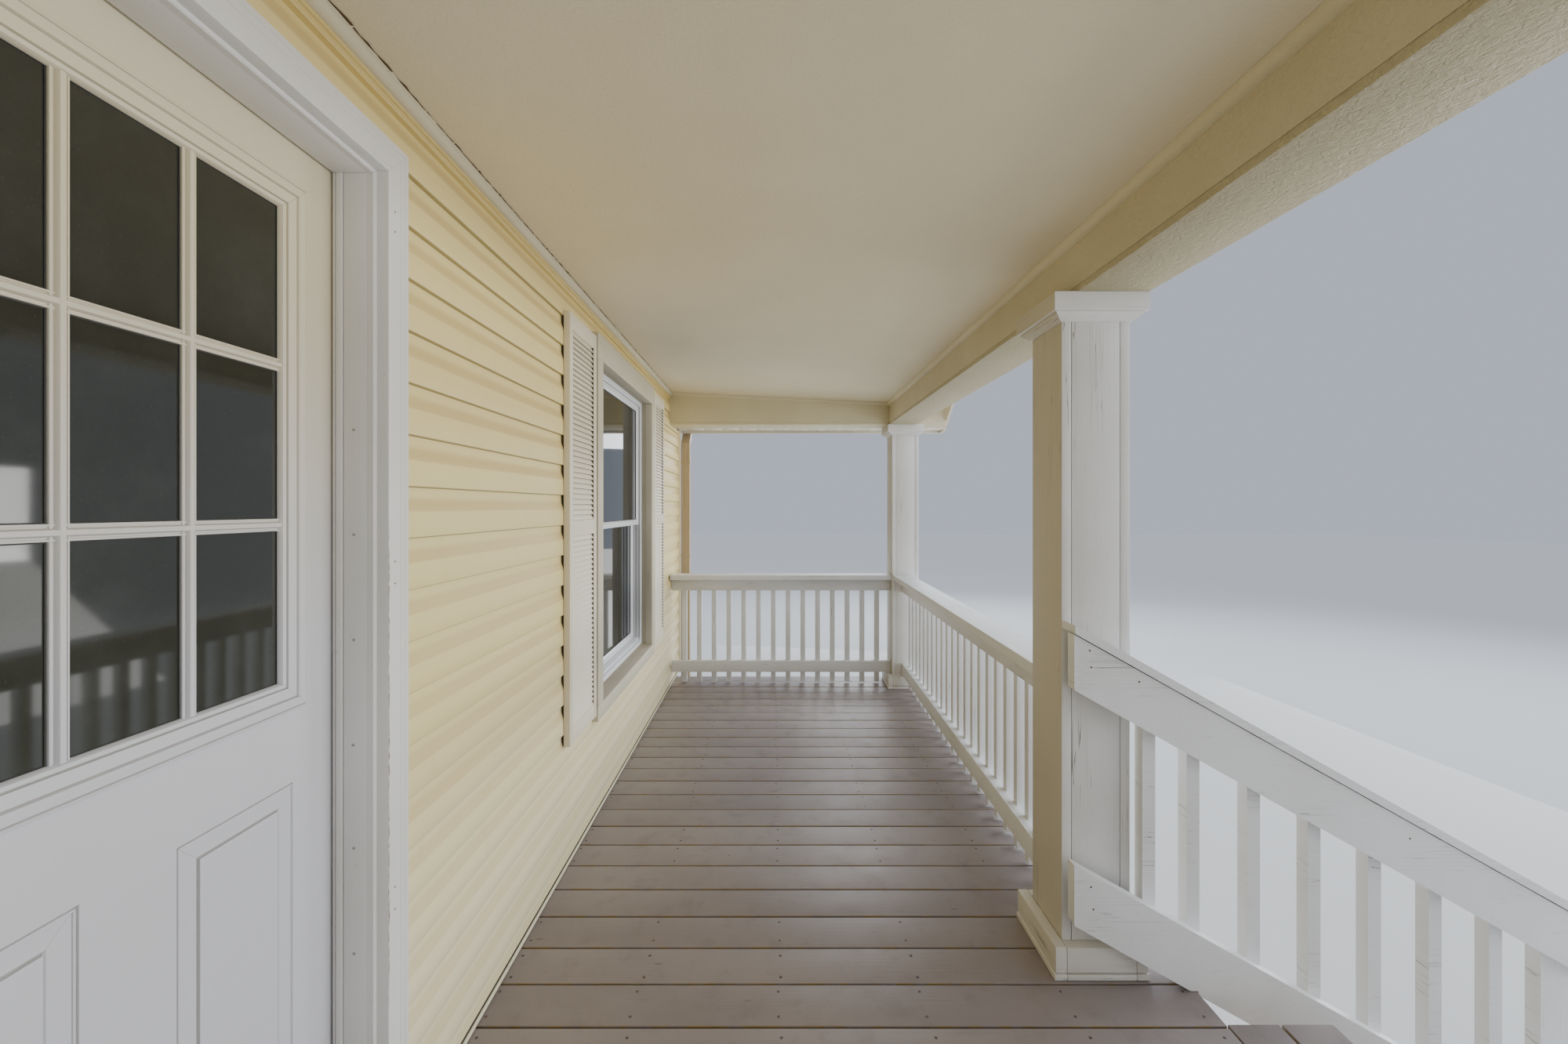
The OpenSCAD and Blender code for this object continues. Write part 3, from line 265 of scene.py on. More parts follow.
# Foundation wall and piers.
# The wall under the house and the piers under the deck are grey concrete blocks, laid in
# running bond with flush mortar.
class Shape:
    """Boards, mouldings and sheets gathered into one mesh. The map "grain" runs along each
    board in metres, and the attribute "tone" sets the boards apart."""

    def __init__(self, seed=1):
        self.mesh = bmesh.new()
        self.grain = self.mesh.loops.layers.uv.new("grain")
        self.tone = self.mesh.verts.layers.float.new("tone")
        self.random = random.Random(seed)

    def lay_grain(self, faces, turn, along, tone):
        """Maps faces: u along the board, v across it or round it."""
        back = turn.inverted().to_3x3() if turn else Matrix.Identity(3)
        across = [(along + 1) % 3, (along + 2) % 3]
        for face in faces:
            normal = back @ face.normal
            flat = max(range(3), key=lambda i: abs(normal[i]))
            for loop in face.loops:
                spot = back @ loop.vert.co
                if flat == along:
                    loop[self.grain].uv = (spot[across[0]], spot[across[1]])
                elif flat == across[0]:
                    loop[self.grain].uv = (spot[along], spot[across[1]] + 3)
                else:
                    loop[self.grain].uv = (spot[along], spot[across[0]])
                loop.vert[self.tone] = tone

    def board(self, low, high, along=0, ease=0.002, turn=None, cuts=2):
        """Box from low to high with eased edges, turned by a matrix if one is given."""
        low, high = Vector(low), Vector(high)
        size, middle = high - low, (low + high) / 2
        made = bmesh.ops.create_cube(self.mesh, size=1, matrix=(
            Matrix.Translation(middle) @ Matrix.Diagonal((*size, 1))))
        verts = made["verts"]
        if ease:
            edges = list(dict.fromkeys(e for v in verts for e in v.link_edges))
            made = bmesh.ops.bevel(self.mesh, geom=edges, offset=min(ease, min(size) / 3),
                                   segments=cuts, profile=0.6, affect="EDGES")
            verts = list(dict.fromkeys(v for f in made["faces"] for v in f.verts))
        faces = list(dict.fromkeys(f for v in verts for f in v.link_faces))
        verts = list(dict.fromkeys(v for f in faces for v in f.verts))
        if turn:
            bmesh.ops.transform(self.mesh, matrix=turn, verts=verts)
        for face in faces:
            face.normal_update()
        self.lay_grain(faces, turn, along, self.random.random())
        return verts

    def leg(self, rings, closed=True, caps=True, tone=None):
        """Skin over rings of points, each ring a cross-section. v of the map runs round."""
        tone = self.random.random() if tone is None else tone
        rows = [[self.mesh.verts.new(p) for p in ring] for ring in rings]
        for row in rows:
            for vert in row:
                vert[self.tone] = tone
        count = len(rows[0])
        round_v = [0]
        for i in range(count):
            round_v.append(round_v[-1] + (rings[0][(i + 1) % count] - rings[0][i]).length)
        along_u = [0]
        for i in range(len(rings) - 1):
            along_u.append(along_u[-1] + (rings[i + 1][0] - rings[i][0]).length)
        shift = self.random.random() * 5
        for i in range(len(rows) - 1):
            for j in range(count if closed else count - 1):
                k = (j + 1) % count
                face = self.mesh.faces.new((rows[i][j], rows[i][k], rows[i + 1][k], rows[i + 1][j]))
                for loop, u, v in zip(face.loops, (i, i, i + 1, i + 1), (j, j + 1, j + 1, j)):
                    loop[self.grain].uv = (along_u[u] + shift, round_v[v])
        if caps:
            for row, step in ((rows[0], -1), (rows[-1], 1)):
                face = self.mesh.faces.new(row[::step])
                face.normal_update()
                flat = sorted(range(3), key=lambda i: abs(face.normal[i]))
                for loop in face.loops:
                    loop[self.grain].uv = (loop.vert.co[flat[1]], loop.vert.co[flat[0]])
        return rows

    def prism(self, outline, axis, start, end, tone=None):
        """Outline of (a, b) points drawn out along an axis: X takes (y, z), Y takes (x, z)
        and Z takes (x, y)."""
        rings = []
        for at in (start, end):
            rings.append([Vector(((at, a, b), (a, at, b), (a, b, at))[axis]) for a, b in outline])
        self.leg(rings, tone=tone)

    def moulding(self, path, profile, out, closed=True):
        """Mitred legs along a flat path. Of a profile's points (a, b), a runs sideways from
        the path and b along out."""
        out = Vector(out).normalized()
        path = [Vector(p) for p in path]
        count = len(path)
        legs = count if closed else count - 1
        sides = [(path[(i + 1) % count] - path[i]).normalized().cross(out) for i in range(legs)]

        def corner(i, own):
            before = sides[(i - 1) % legs] if closed or i > 0 else own
            after = sides[i % legs] if closed or i < legs else own
            mitre = before + after
            return mitre / mitre.dot(own)

        for i in range(legs):
            ahead = (path[(i + 1) % count] - path[i]).normalized() * 0.0002
            rings = []
            for at, nudge in ((i, ahead), (i + 1, -ahead)):
                side = corner(at if at < count or not closed else 0, sides[i])
                start = path[at % count] + nudge
                rings.append([start + side * a + out * b for a, b in profile])
            self.leg(rings)

    def skin(self, name, *materials, smooth=35):
        """The mesh on its own, with its faces outwards. The Shape is used up."""
        bmesh.ops.recalc_face_normals(self.mesh, faces=self.mesh.faces)
        mesh = bpy.data.meshes.new(name)
        self.mesh.to_mesh(mesh)
        self.mesh.free()
        for one in materials:
            mesh.materials.append(one)
        mesh.shade_smooth()
        mesh.set_sharp_from_angle(angle=math.radians(smooth))
        return mesh

    def done(self, name, *materials, smooth=35):
        """The finished piece, at the origin with its place in its mesh."""
        made = bpy.data.objects.new(name, self.skin(name, *materials, smooth=smooth))
        bpy.context.scene.collection.objects.link(made)
        return made


def rounded(outline, radius, cuts=2):
    """An outline with its corners rounded, except where its points are closer than that."""
    points = [Vector(p) for p in outline]
    count, made = len(points), []
    for i, point in enumerate(points):
        before, after = points[i - 1] - point, points[(i + 1) % count] - point
        reach = min(radius, before.length / 2.1, after.length / 2.1)
        start, end = point + before.normalized() * reach, point + after.normalized() * reach
        for k in range(cuts + 1):
            t = k / cuts
            made.append(start * (1 - t) ** 2 + point * 2 * t * (1 - t) + end * t ** 2)
    return [tuple(p) for p in made]


def repeat_tree(name):
    """Geometry nodes that copy a piece along a line. Every copy gets its own "tone", and may
    be moved and turned a little by chance."""
    tree = bpy.data.node_groups.new(name, "GeometryNodeTree")
    for name, kind in (("Geometry", "Geometry"), ("Count", "Int"), ("Start", "Vector"),
                       ("Step", "Vector"), ("Shift", "Vector"), ("Tilt", "Vector"),
                       ("Seed", "Int"), ("Material", "Material")):
        tree.interface.new_socket(name, in_out="INPUT", socket_type="NodeSocket" + kind)
    tree.interface.new_socket("Geometry", in_out="OUTPUT", socket_type="NodeSocketGeometry")
    nodes = Nodes(tree)
    given = tree.nodes.new("NodeGroupInput")
    inputs = {socket.name: Value(nodes, socket) for socket in given.outputs if socket.name}

    def both_ways(name, seed):
        """Random vector from minus to plus the named input."""
        minus = nodes.add("ShaderNodeVectorMath", {"operation": "SCALE"},
                          {0: inputs[name], "Scale": -1})
        return nodes.add("FunctionNodeRandomValue", {"data_type": "FLOAT_VECTOR"},
                         {0: minus, 1: inputs[name], "Seed": inputs["Seed"] + seed})

    line = nodes.add("GeometryNodeMeshLine", {"mode": "OFFSET"}, {
        "Count": inputs["Count"], "Start Location": inputs["Start"], "Offset": inputs["Step"]})
    moved = nodes.add("GeometryNodeSetPosition", None, {
        "Geometry": line, "Offset": both_ways("Shift", 3)})
    copies = nodes.add("GeometryNodeInstanceOnPoints", None, {
        "Points": moved, "Instance": inputs["Geometry"], "Rotation": both_ways("Tilt", 7)})
    tone = nodes.add("FunctionNodeRandomValue", {"data_type": "FLOAT"},
                     {"Seed": inputs["Seed"]}, 1)
    toned = nodes.add("GeometryNodeStoreNamedAttribute",
                      {"data_type": "FLOAT", "domain": "INSTANCE"},
                      {"Geometry": copies, "Name": "tone", "Value": tone})
    real = nodes.add("GeometryNodeRealizeInstances", None, {"Geometry": toned})
    painted = nodes.add("GeometryNodeSetMaterial", None, {
        "Geometry": real, "Material": inputs["Material"]})
    end = tree.nodes.new("NodeGroupOutput")
    tree.links.new(painted.socket, end.inputs[0])
    return tree


repeat_along = repeat_tree("repeat along a line")


def run_tree(piece, tree, inputs):
    """The piece's mesh after a geometry tree, as plain faces with no modifier left."""
    modifier = piece.modifiers.new(tree.name, "NODES")
    modifier.node_group = tree
    sockets = {s.name: s.identifier for s in tree.interface.items_tree
               if s.item_type == "SOCKET" and s.in_out == "INPUT"}
    for name, value in inputs.items():
        modifier[sockets[name]] = value
    graph = bpy.context.evaluated_depsgraph_get()
    graph.update()
    made = bpy.data.meshes.new_from_object(piece.evaluated_get(graph), depsgraph=graph)
    piece.modifiers.remove(modifier)
    return made


def repeated(template, count, start, step, material, shift=(0, 0, 0), tilt=(0, 0, 0), seed=1):
    """Mesh of count copies of a Shape, which is used up."""
    piece = template.done("template", material)
    piece.data.attributes.remove(piece.data.attributes["tone"])
    made = run_tree(piece, repeat_along, {
        "Count": count, "Start": start, "Step": step, "Shift": shift, "Tilt": tilt,
        "Seed": seed, "Material": material})
    bpy.data.objects.remove(piece)
    return made


def joined(name, meshes, smooth=35):
    """One piece made of several meshes that keep their materials."""
    gathered = bmesh.new()
    materials = []
    for mesh in meshes:
        before = len(gathered.faces)
        gathered.from_mesh(mesh)
        gathered.faces.ensure_lookup_table()
        places = []
        for one in mesh.materials:
            if one not in materials:
                materials.append(one)
            places.append(materials.index(one))
        for face in gathered.faces[before:]:
            face.material_index = places[min(face.material_index, len(places) - 1)]
    whole = bpy.data.meshes.new(name)
    gathered.to_mesh(whole)
    gathered.free()
    for one in materials:
        whole.materials.append(one)
    whole.shade_smooth()
    whole.set_sharp_from_angle(angle=math.radians(smooth))
    made = bpy.data.objects.new(name, whole)
    bpy.context.scene.collection.objects.link(made)
    return made


def paint_block(nodes):
    spot, tone = nodes.place(), nodes.tone()
    coarse = nodes.noise(spot, 7, 5, 0.6)
    grit = nodes.noise(nodes.stretch(spot, (1, 1, 1), tone), 170, 3, 0.65)
    pits = nodes.cells(spot, 210).between(0.1, 0.35)
    color = nodes.mix(coarse, rgb("8f8b84"), rgb("aaa69d"))
    color = nodes.mix(tone * 0.4, color, rgb("7d7870"))
    color = nodes.mix(grit.between(0.55, 0.75) * 0.55, color, rgb("5c5852"))
    return {"Base Color": color, "Roughness": 0.93,
            "Normal": bump(nodes, grit * 0.5 + pits, 0.0015)}


def paint_mortar(nodes):
    grit = nodes.noise(nodes.place(), 240, 3, 0.7)
    color = nodes.mix(grit, rgb("78746c"), rgb("99958c"))
    return {"Base Color": color, "Roughness": 0.95, "Normal": bump(nodes, grit, 0.001)}


block_grey = material("concrete block", paint_block)
mortar_grey = material("mortar", paint_mortar)
low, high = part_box("foundation_wall")
block_rows, block_row, mortar_gap, blocks_long = 3, 0.2, 0.01, 14
block_pitch = (high.x - low.x) / blocks_long
core = Shape()
core.board(low + Vector((0.003, 0.003, 0)), high - Vector((0.003, 0.003, 0.001)), ease=0)
parts = [core.skin("core", mortar_grey)]
for row in range(block_rows):
    bottom = low.z + row * block_row
    top = min(bottom + block_row - mortar_gap, high.z)
    odd = row % 2
    block = Shape()
    block.board((0, 0, 0), (block_pitch - mortar_gap, high.y - low.y, top - bottom), ease=0.003)
    first = (low.x + mortar_gap / 2 + odd * block_pitch / 2, low.y, bottom)
    parts.append(repeated(block, blocks_long - odd, first, (block_pitch, 0, 0), block_grey,
                          seed=row))
    if odd:
        half = Shape(row)
        for x0, x1 in ((low.x, low.x + block_pitch / 2 - mortar_gap / 2),
                       (high.x - block_pitch / 2 + mortar_gap / 2, high.x)):
            half.board((x0, low.y, bottom), (x1, high.y, top), ease=0.003)
        parts.append(half.skin("half", block_grey))
foundation = joined("foundation_blocks", parts)
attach(foundation, "porch")
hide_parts("foundation_wall")


# Framed wall. The house wall behind the siding is framed in timber and closed with boards;
# its inner side is finished with smooth painted plaster board, screwed on and filled.
def paint_plaster(nodes):
    spot = nodes.place()
    soft = nodes.noise(spot, 1.7, 4)
    roller = nodes.noise(spot, 320, 2, 0.6)
    color = nodes.mix(soft, rgb("dcd6c8"), rgb("e6e1d5"))
    return {"Base Color": color, "Roughness": 0.8, "Normal": bump(nodes, roller, 0.0004, 0.6)}


def finish(node, look):
    """Gives a carried-over CAD node its material."""
    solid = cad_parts[node]
    solid.data.materials.clear()
    solid.data.materials.append(look)


plaster = material("painted plaster board", paint_plaster)
for node in ("wall_left", "wall_right", "wall_over_door", "wall_gable"):
    finish(node, plaster)


# Deck frame. Joists of bare sawn timber run along the wall on beams that stand on block
# piers, and white painted rim boards close the deck's front and ends.
def paint_lumber(nodes):
    grain, tone = nodes.grain(), nodes.tone()
    rings = nodes.noise(nodes.stretch(grain, (1.1, 34, 1), tone), 3, 5, 0.6, 0.3)
    stain = nodes.noise(nodes.stretch(grain, (3, 6, 1), tone), 1.3, 3)
    color = nodes.mix(rings, rgb("8d7350"), rgb("b99c73"))
    color = nodes.mix(stain.between(0.45, 0.75) * 0.6, color, rgb("7b6f60"))
    color = nodes.mix(tone * 0.3, color, rgb("6f5c43"))
    return {"Base Color": color, "Roughness": 0.85, "Normal": bump(nodes, rings, 0.0008)}


def weathered(color, shade, worn=0.35, cracks=0.5, dirt=0.4, gloss=0.5, house_side_shade=0):
    """Paint on wood that has seen some years: a little grain shows, with cracks along it,
    dirt in the hollows and small chips. The side that faces the house is painted darker and
    yellower, as painted shade tinted by the yellow siding."""

    def paint(nodes):
        grain, tone = nodes.grain(), nodes.tone()
        spot = nodes.place()
        broad = nodes.noise(spot, 1.9, 4, 0.55)
        lines = nodes.noise(nodes.stretch(grain, (1.6, 60, 1), tone), 3.2, 5, 0.62, 0.25)
        split = nodes.noise(nodes.stretch(grain, (0.5, 30, 1), tone), 2.4, 2, 0.4, 0.2)
        where = nodes.noise(nodes.stretch(grain, (1, 3, 1), tone), 2.1, 2)
        crack = 1 - abs(split - 0.5).between(0.002, 0.008)
        crack = crack * where.between(0.62 - 0.2 * cracks, 0.72)
        speck = nodes.noise(spot, 95, 3, 0.7).between(0.66, 0.74)
        chip = nodes.noise(nodes.stretch(grain, (14, 40, 1), tone), 3, 4, 0.65)
        chip = chip.between(0.76 - 0.05 * worn, 0.79)
        look = nodes.mix(broad.between(0.3, 0.75) * 0.5, rgb(color), rgb(shade))
        rub = nodes.noise(nodes.stretch(grain, (3, 34, 1), tone), 4, 5, 0.7)
        look = nodes.mix(rub.between(0.58, 0.72) * worn * 0.35, look, rgb("a79f92"))
        look = nodes.mix(tone * 0.12, look, rgb(shade))
        # Painted shade: faces turned towards the house are mixed towards a darker yellow, for the
        # shade and the siding's yellow light on that side.
        facing = nodes.parts(nodes.add("ShaderNodeNewGeometry", None, None, "Normal"))[1]
        look = nodes.mix(facing.between(0.3, 0.8) * house_side_shade, look, rgb("b0a587"))
        look = nodes.mix(lines.between(0.55, 0.8) * worn * 0.5, look, rgb(shade))
        look = nodes.mix(speck * dirt * 0.5, look, rgb("8a7f70"))
        look = nodes.mix(crack * cracks, look, rgb("51452f"))
        look = nodes.mix(chip * worn, look, rgb("8b7862"))
        rise = lines * 0.5 - crack * 1.5 - chip * 0.6 + nodes.noise(spot, 260, 2) * 0.25
        return {"Base Color": look, "Roughness": lines * 0.15 + gloss,
                "Normal": bump(nodes, rise, 0.0009, 0.7)}

    return paint


def local(y):
    """World y of a distance from the siding's face, which is negative towards the street."""
    return face_y + y


lumber = material("sawn timber", paint_lumber)
white_wood = material("weathered white paint", weathered("ecebea", "d2cec6", 0.6, 0.8, 0.6, 0.5,
                                                         0.75))
board_t, joist_h, joist_pitch = 0.038, 0.14, 0.406

low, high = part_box("deck_joists")
joists = Shape(3)
joist_backs = [high.y - i * joist_pitch for i in range(4)]
for back in joist_backs:
    joists.board((low.x, back - board_t, low.z), (high.x, back, high.z), ease=0.003)
joists = joists.done("joists", lumber)
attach(joists, "porch")
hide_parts("deck_joists")

low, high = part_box("deck_piers")
corner_x, middle_x, stair_x = 2.508, -0.352, -1.43
porch_d, middle_d, post_w = 1.719, 1.664, 0.205
carrier_len, pier_w, pier_d, pier_h = 1.989, 0.19, 0.39, 0.19
stub_w, stub_d = 0.18, 0.2
pier_top = high.z - joist_h
carriers = Shape(4)
piers = Shape(5)
for x in (-corner_x, stair_x, middle_x, (middle_x + corner_x) / 2, corner_x):
    for side in (0, 1):
        carriers.board((x - board_t + side * board_t, high.y - carrier_len, pier_top),
                       (x + side * board_t, high.y, high.z), along=1, ease=0.003)
    pier_y = local(-porch_d - post_w / 2)
    piers.board((x - pier_w / 2, pier_y - pier_d / 2, 0),
                (x + pier_w / 2, pier_y + pier_d / 2, pier_h), ease=0.004)
    carriers.board((x - stub_w / 2, pier_y - stub_d / 2, pier_h),
                   (x + stub_w / 2, pier_y + stub_d / 2, pier_top), along=1)
piers = joined("piers_and_beams", [piers.skin("piers", block_grey),
                                   carriers.skin("carriers", lumber)])
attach(piers, "porch")
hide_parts("deck_piers")

low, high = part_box("deck_rim")
rims = Shape(6)
rims.board(low, (high.x, low.y + board_t, high.z), ease=0.003)
for x in (low.x, high.x - board_t):
    rims.board((x, low.y + board_t + 0.001, low.z), (x + board_t, high.y, high.z), along=1,
               ease=0.003)
rims = rims.done("rim_boards", white_wood)
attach(rims, "porch")
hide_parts("deck_rim")


# Deck floor. Painted boards of 140 mm are nailed across the joists with a gap of 6 mm. The
# mauve grey paint is thin on the boards' edges, where the yellow wood and old paint show.
def paint_deck(nodes):
    grain, tone = nodes.grain(), nodes.tone()
    spot = nodes.place()
    v = nodes.parts(grain)[1]
    from_edge = 0.07 - abs(v - 3)
    ragged = nodes.noise(nodes.stretch(grain, (5, 14, 1), tone), 3.5, 4, 0.65)
    bare = (1 - (from_edge + ragged * 0.012).between(0.006, 0.0095)) * ragged.between(0.42, 0.6)
    lines = nodes.noise(nodes.stretch(grain, (1.3, 55, 1), tone), 3, 5, 0.6, 0.4)
    broad = nodes.noise(nodes.stretch(spot, (1, 0.5, 1)), 2.6, 4, 0.6)
    walked = nodes.noise(spot, 11, 4, 0.65)
    knots = 1 - nodes.cells(nodes.stretch(grain, (1.5, 5, 1), tone), 1.7).between(0.018, 0.05)
    drops = 1 - nodes.cells(spot, 6.5).between(0.016, 0.024)
    pits = nodes.cells(nodes.stretch(spot, (0.6, 1, 1), (3.1, 1.7, 0)), 9)
    pits = 1 - pits.between(0.018, 0.036)
    look = nodes.mix(tone, rgb("837876"), rgb("918684"))
    look = nodes.mix(broad.between(0.35, 0.7) * 0.55, look, rgb("9c918e"))
    look = nodes.mix(walked.between(0.5, 0.75) * 0.4, look, rgb("756a68"))
    look = nodes.mix(lines.between(0.6, 0.8) * 0.35, look, rgb("675b58"))
    look = nodes.mix(knots * 0.45, look, rgb("5a4a44"))
    look = nodes.mix(pits * 0.7, look, rgb("453934"))
    look = nodes.mix(drops * 0.9, look, rgb("e4ded8"))
    look = nodes.mix(bare * 0.85, look, nodes.mix(lines, rgb("7a6230"), rgb("b39a63")))
    rise = lines * 0.55 + walked * 0.3 - knots * 0.6 - bare * 0.5
    return {"Base Color": look, "Roughness": walked * 0.25 + 0.28,
            "Normal": bump(nodes, rise, 0.0011, 0.6)}


deck_paint = material("mauve deck paint", paint_deck)


def mottled(name, scale, first, second, rough, metal=0):
    """A finish of two tones that a noise of this scale mixes."""
    def paint(nodes):
        tones = nodes.noise(nodes.place(), scale)
        return {"Base Color": nodes.mix(tones, rgb(first), rgb(second)), "Roughness": rough}

    return material(name, paint, Metallic=metal)


def circle(radius, count, x=0, y=0):
    """Points of a circle."""
    turns = [i * math.pi / (count / 2) for i in range(count)]
    return [(x + radius * math.cos(turn), y + radius * math.sin(turn)) for turn in turns]


nail_head = mottled("painted nail", 60, "40342f", "6e5e58", 0.5)
low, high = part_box("deck_floor")
deck_gap, deck_pitch, deck_seam = 0.006, 0.146, -0.649
boards_before, boards_after = 8, 20
first_seam = deck_seam - boards_before * deck_pitch
last_seam = deck_seam + boards_after * deck_pitch
nail_lines = [high.y - 0.03] + [y - board_t / 2 for y in joist_backs[1:]] + [
    local(-1.63), low.y + board_t]
parts = []
for start, end, count in ((low.x, first_seam, 6),
                          (first_seam, last_seam, boards_before + boards_after),
                          (last_seam, high.x, 3)):
    pitch = (end - start) / count
    board = Shape()
    board.board((-(pitch - deck_gap) / 2, low.y + 0.002, low.z), ((pitch - deck_gap) / 2,
                high.y - 0.002, high.z - 0.0008), along=1, ease=0.0035, cuts=3)
    parts.append(repeated(board, count, (start + pitch / 2, 0, 0), (pitch, 0, 0), deck_paint,
                          shift=(0.0006, 0.0018, 0.0007), seed=11 + count))
    nails = Shape()
    for y in nail_lines:
        for x in (-0.042, 0.044):
            nails.prism(circle(0.0045, 8, x, y), 2, high.z - 0.004, high.z - 0.0006)
    parts.append(repeated(nails, count, (start + pitch / 2, 0, 0), (pitch, 0, 0), nail_head,
                          shift=(0.004, 0.006, 0.0002), seed=17 + count))
deck = joined("deck_boards", parts)
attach(deck, "porch")
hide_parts("deck_floor")


# Stairs. Three saw-toothed stringers of bare timber carry treads of two painted boards
# each; the top tread lies level with the deck.
steps = 3
riser, tread_run, tread_w = 0.533 / steps, 0.317, 0.139
low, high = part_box("stair_treads")
treads = Shape(21)
middles = []
for i in range(steps):
    top = high.z - i * riser
    back = high.y - i * tread_run
    for k in range(2):
        treads.board((low.x, back - k * deck_pitch - tread_w, top - board_t),
                     (high.x, back - k * deck_pitch, top), ease=0.004, cuts=3)
        middles.append(back - k * deck_pitch - tread_w / 2)

# The paint wears off from the long edges, so v of the map starts at each board's middle.
for face in treads.mesh.faces:
    for loop in face.loops:
        if abs(face.normal.z) > 0.5:
            row = loop.vert.co.y
            loop[treads.grain].uv.y = 3 + row - min(middles, key=lambda y: abs(y - row))
treads = treads.done("tread_boards", deck_paint)
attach(treads, "porch")
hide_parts("stair_treads")


def paint_stringer(nodes):
    spot = nodes.place()
    rings = nodes.noise(nodes.stretch(spot, (40, 1.6, 30)), 2, 5, 0.6, 0.4)
    dirt = nodes.parts(spot)[2].between(0.25, 0.0) * nodes.noise(spot, 12)
    color = nodes.mix(rings, rgb("8d7350"), rgb("b59a72"))
    color = nodes.mix(dirt, color, rgb("5b5043"))
    return {"Base Color": color, "Roughness": 0.85, "Normal": bump(nodes, rings, 0.0008)}


plain_timber = material("stringer timber", paint_stringer)
finish("stair_stringers", plain_timber)


# Posts. Each is a timber boxed in with four painted boards, so that a joint runs down near
# the corners; small splits and lines of caulk show along the joints.
post_skin, skin_t, joint = 0.029, 0.019, 0.0009
posts_at = [(-corner_x, local(-porch_d - post_w / 2)), (corner_x, local(-porch_d - post_w / 2)),
            (middle_x, local(-middle_d - post_w / 2))]
low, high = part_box("posts")
posts = Shape(31)
half = post_w / 2
for x, y in posts_at:
    for side in (-1, 1):
        inner, outer = sorted((side * half, side * (half - post_skin)))
        posts.board((x - half, y + inner, low.z), (x + half, y + outer, high.z), along=2,
                    ease=0.0025)
        posts.board((x + inner, y - half + post_skin + joint, low.z),
                    (x + outer, y + half - post_skin - joint, high.z), along=2, ease=0.002)
posts = posts.done("post_boards", white_wood)
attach(posts, "porch")
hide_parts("posts")

# Plinths. Four painted boards are nailed around each post's foot, over a base board that is
# thinner and wider. Their paint is scuffed and dirty near the deck.
collar_t, base_h, seam = 0.038, 0.02, 0.0005
out = half + collar_t
low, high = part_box("plinths")
worn_wood = material("worn white paint", weathered("eae7e1", "cfc9be", 0.7, 0.8, 0.8, 0.5, 0.5))
plinths = Shape(32)
for x, y in posts_at:
    for side in (-1, 1):
        inner, outer = sorted((side * (half + seam), side * (out - 0.003)))
        plinths.board((x - out + 0.003, y + inner, low.z + base_h),
                      (x + out - 0.003, y + outer, high.z), ease=0.004, cuts=3)
        plinths.board((x + inner, y - half, low.z + base_h + seam),
                      (x + outer, y + half, high.z - 0.001), along=1, ease=0.003)
        inner, outer = sorted((side * (half + seam), side * out))
        plinths.board((x - out, y + inner, low.z), (x + out, y + outer, low.z + base_h - 0.002),
                      ease=0.003)
        plinths.board((x + inner, y - half, low.z), (x + outer, y + half, low.z + base_h - 0.003),
                      along=1, ease=0.003)
plinths = plinths.done("plinth_boards", worn_wood)
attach(plinths, "porch")
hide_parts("plinths")


# Capitals. Around each post's head a mitred square block of painted timber meets the beam,
# and a bevelled strip is nailed under it.
def square(x, y, z, half):
    """Corners of a level square, so that a moulding's first coordinate points outwards."""
    return [(x - half, y - half, z), (x + half, y - half, z), (x + half, y + half, z),
            (x - half, y + half, z)]


low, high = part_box("capitals")
capital_h, bevel_h = 0.055, 0.025
block = rounded([(0, -capital_h), (collar_t, -capital_h), (collar_t, 0), (0, 0)], 0.003)
bevel = rounded([(0, -capital_h - bevel_h), (0.004, -capital_h - bevel_h),
                 (collar_t - 0.012, -capital_h - 0.008), (collar_t - 0.008, -capital_h - 0.0005),
                 (0, -capital_h - 0.0005)], 0.002)
capitals = Shape(33)
for x, y in posts_at:
    capitals.moulding(square(x, y, high.z, half), block, (0, 0, 1))
    capitals.moulding(square(x, y, high.z, half), bevel, (0, 0, 1))
capitals = capitals.done("capital_blocks", white_wood)
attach(capitals, "porch")
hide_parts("capitals")


# Beams. Timber beams carry the roof between the posts; they are boxed in with boards whose
# cream paint is thick and rough, almost like plaster, above all on the undersides.
def rough_cream(color, shade, depth):
    """Thick paint whose lumps are depth high."""

    def paint(nodes):
        spot, tone = nodes.place(), nodes.tone()
        broad = nodes.noise(spot, 1.3, 4, 0.6)
        lumps = nodes.noise(nodes.stretch(spot, (1, 1, 1)), 75, 4, 0.62, 0.6)
        fine = nodes.noise(spot, 300, 2, 0.5)
        look = nodes.mix(broad.between(0.3, 0.75), rgb(color), rgb(shade))
        look = nodes.mix(tone * 0.15, look, rgb(shade))
        look = nodes.mix(lumps.between(0.62, 0.8) * 0.25, look, rgb("a89a78"))
        return {"Base Color": look, "Roughness": fine * 0.2 + 0.55,
                "Normal": bump(nodes, lumps + fine * 0.25, depth)}

    return paint


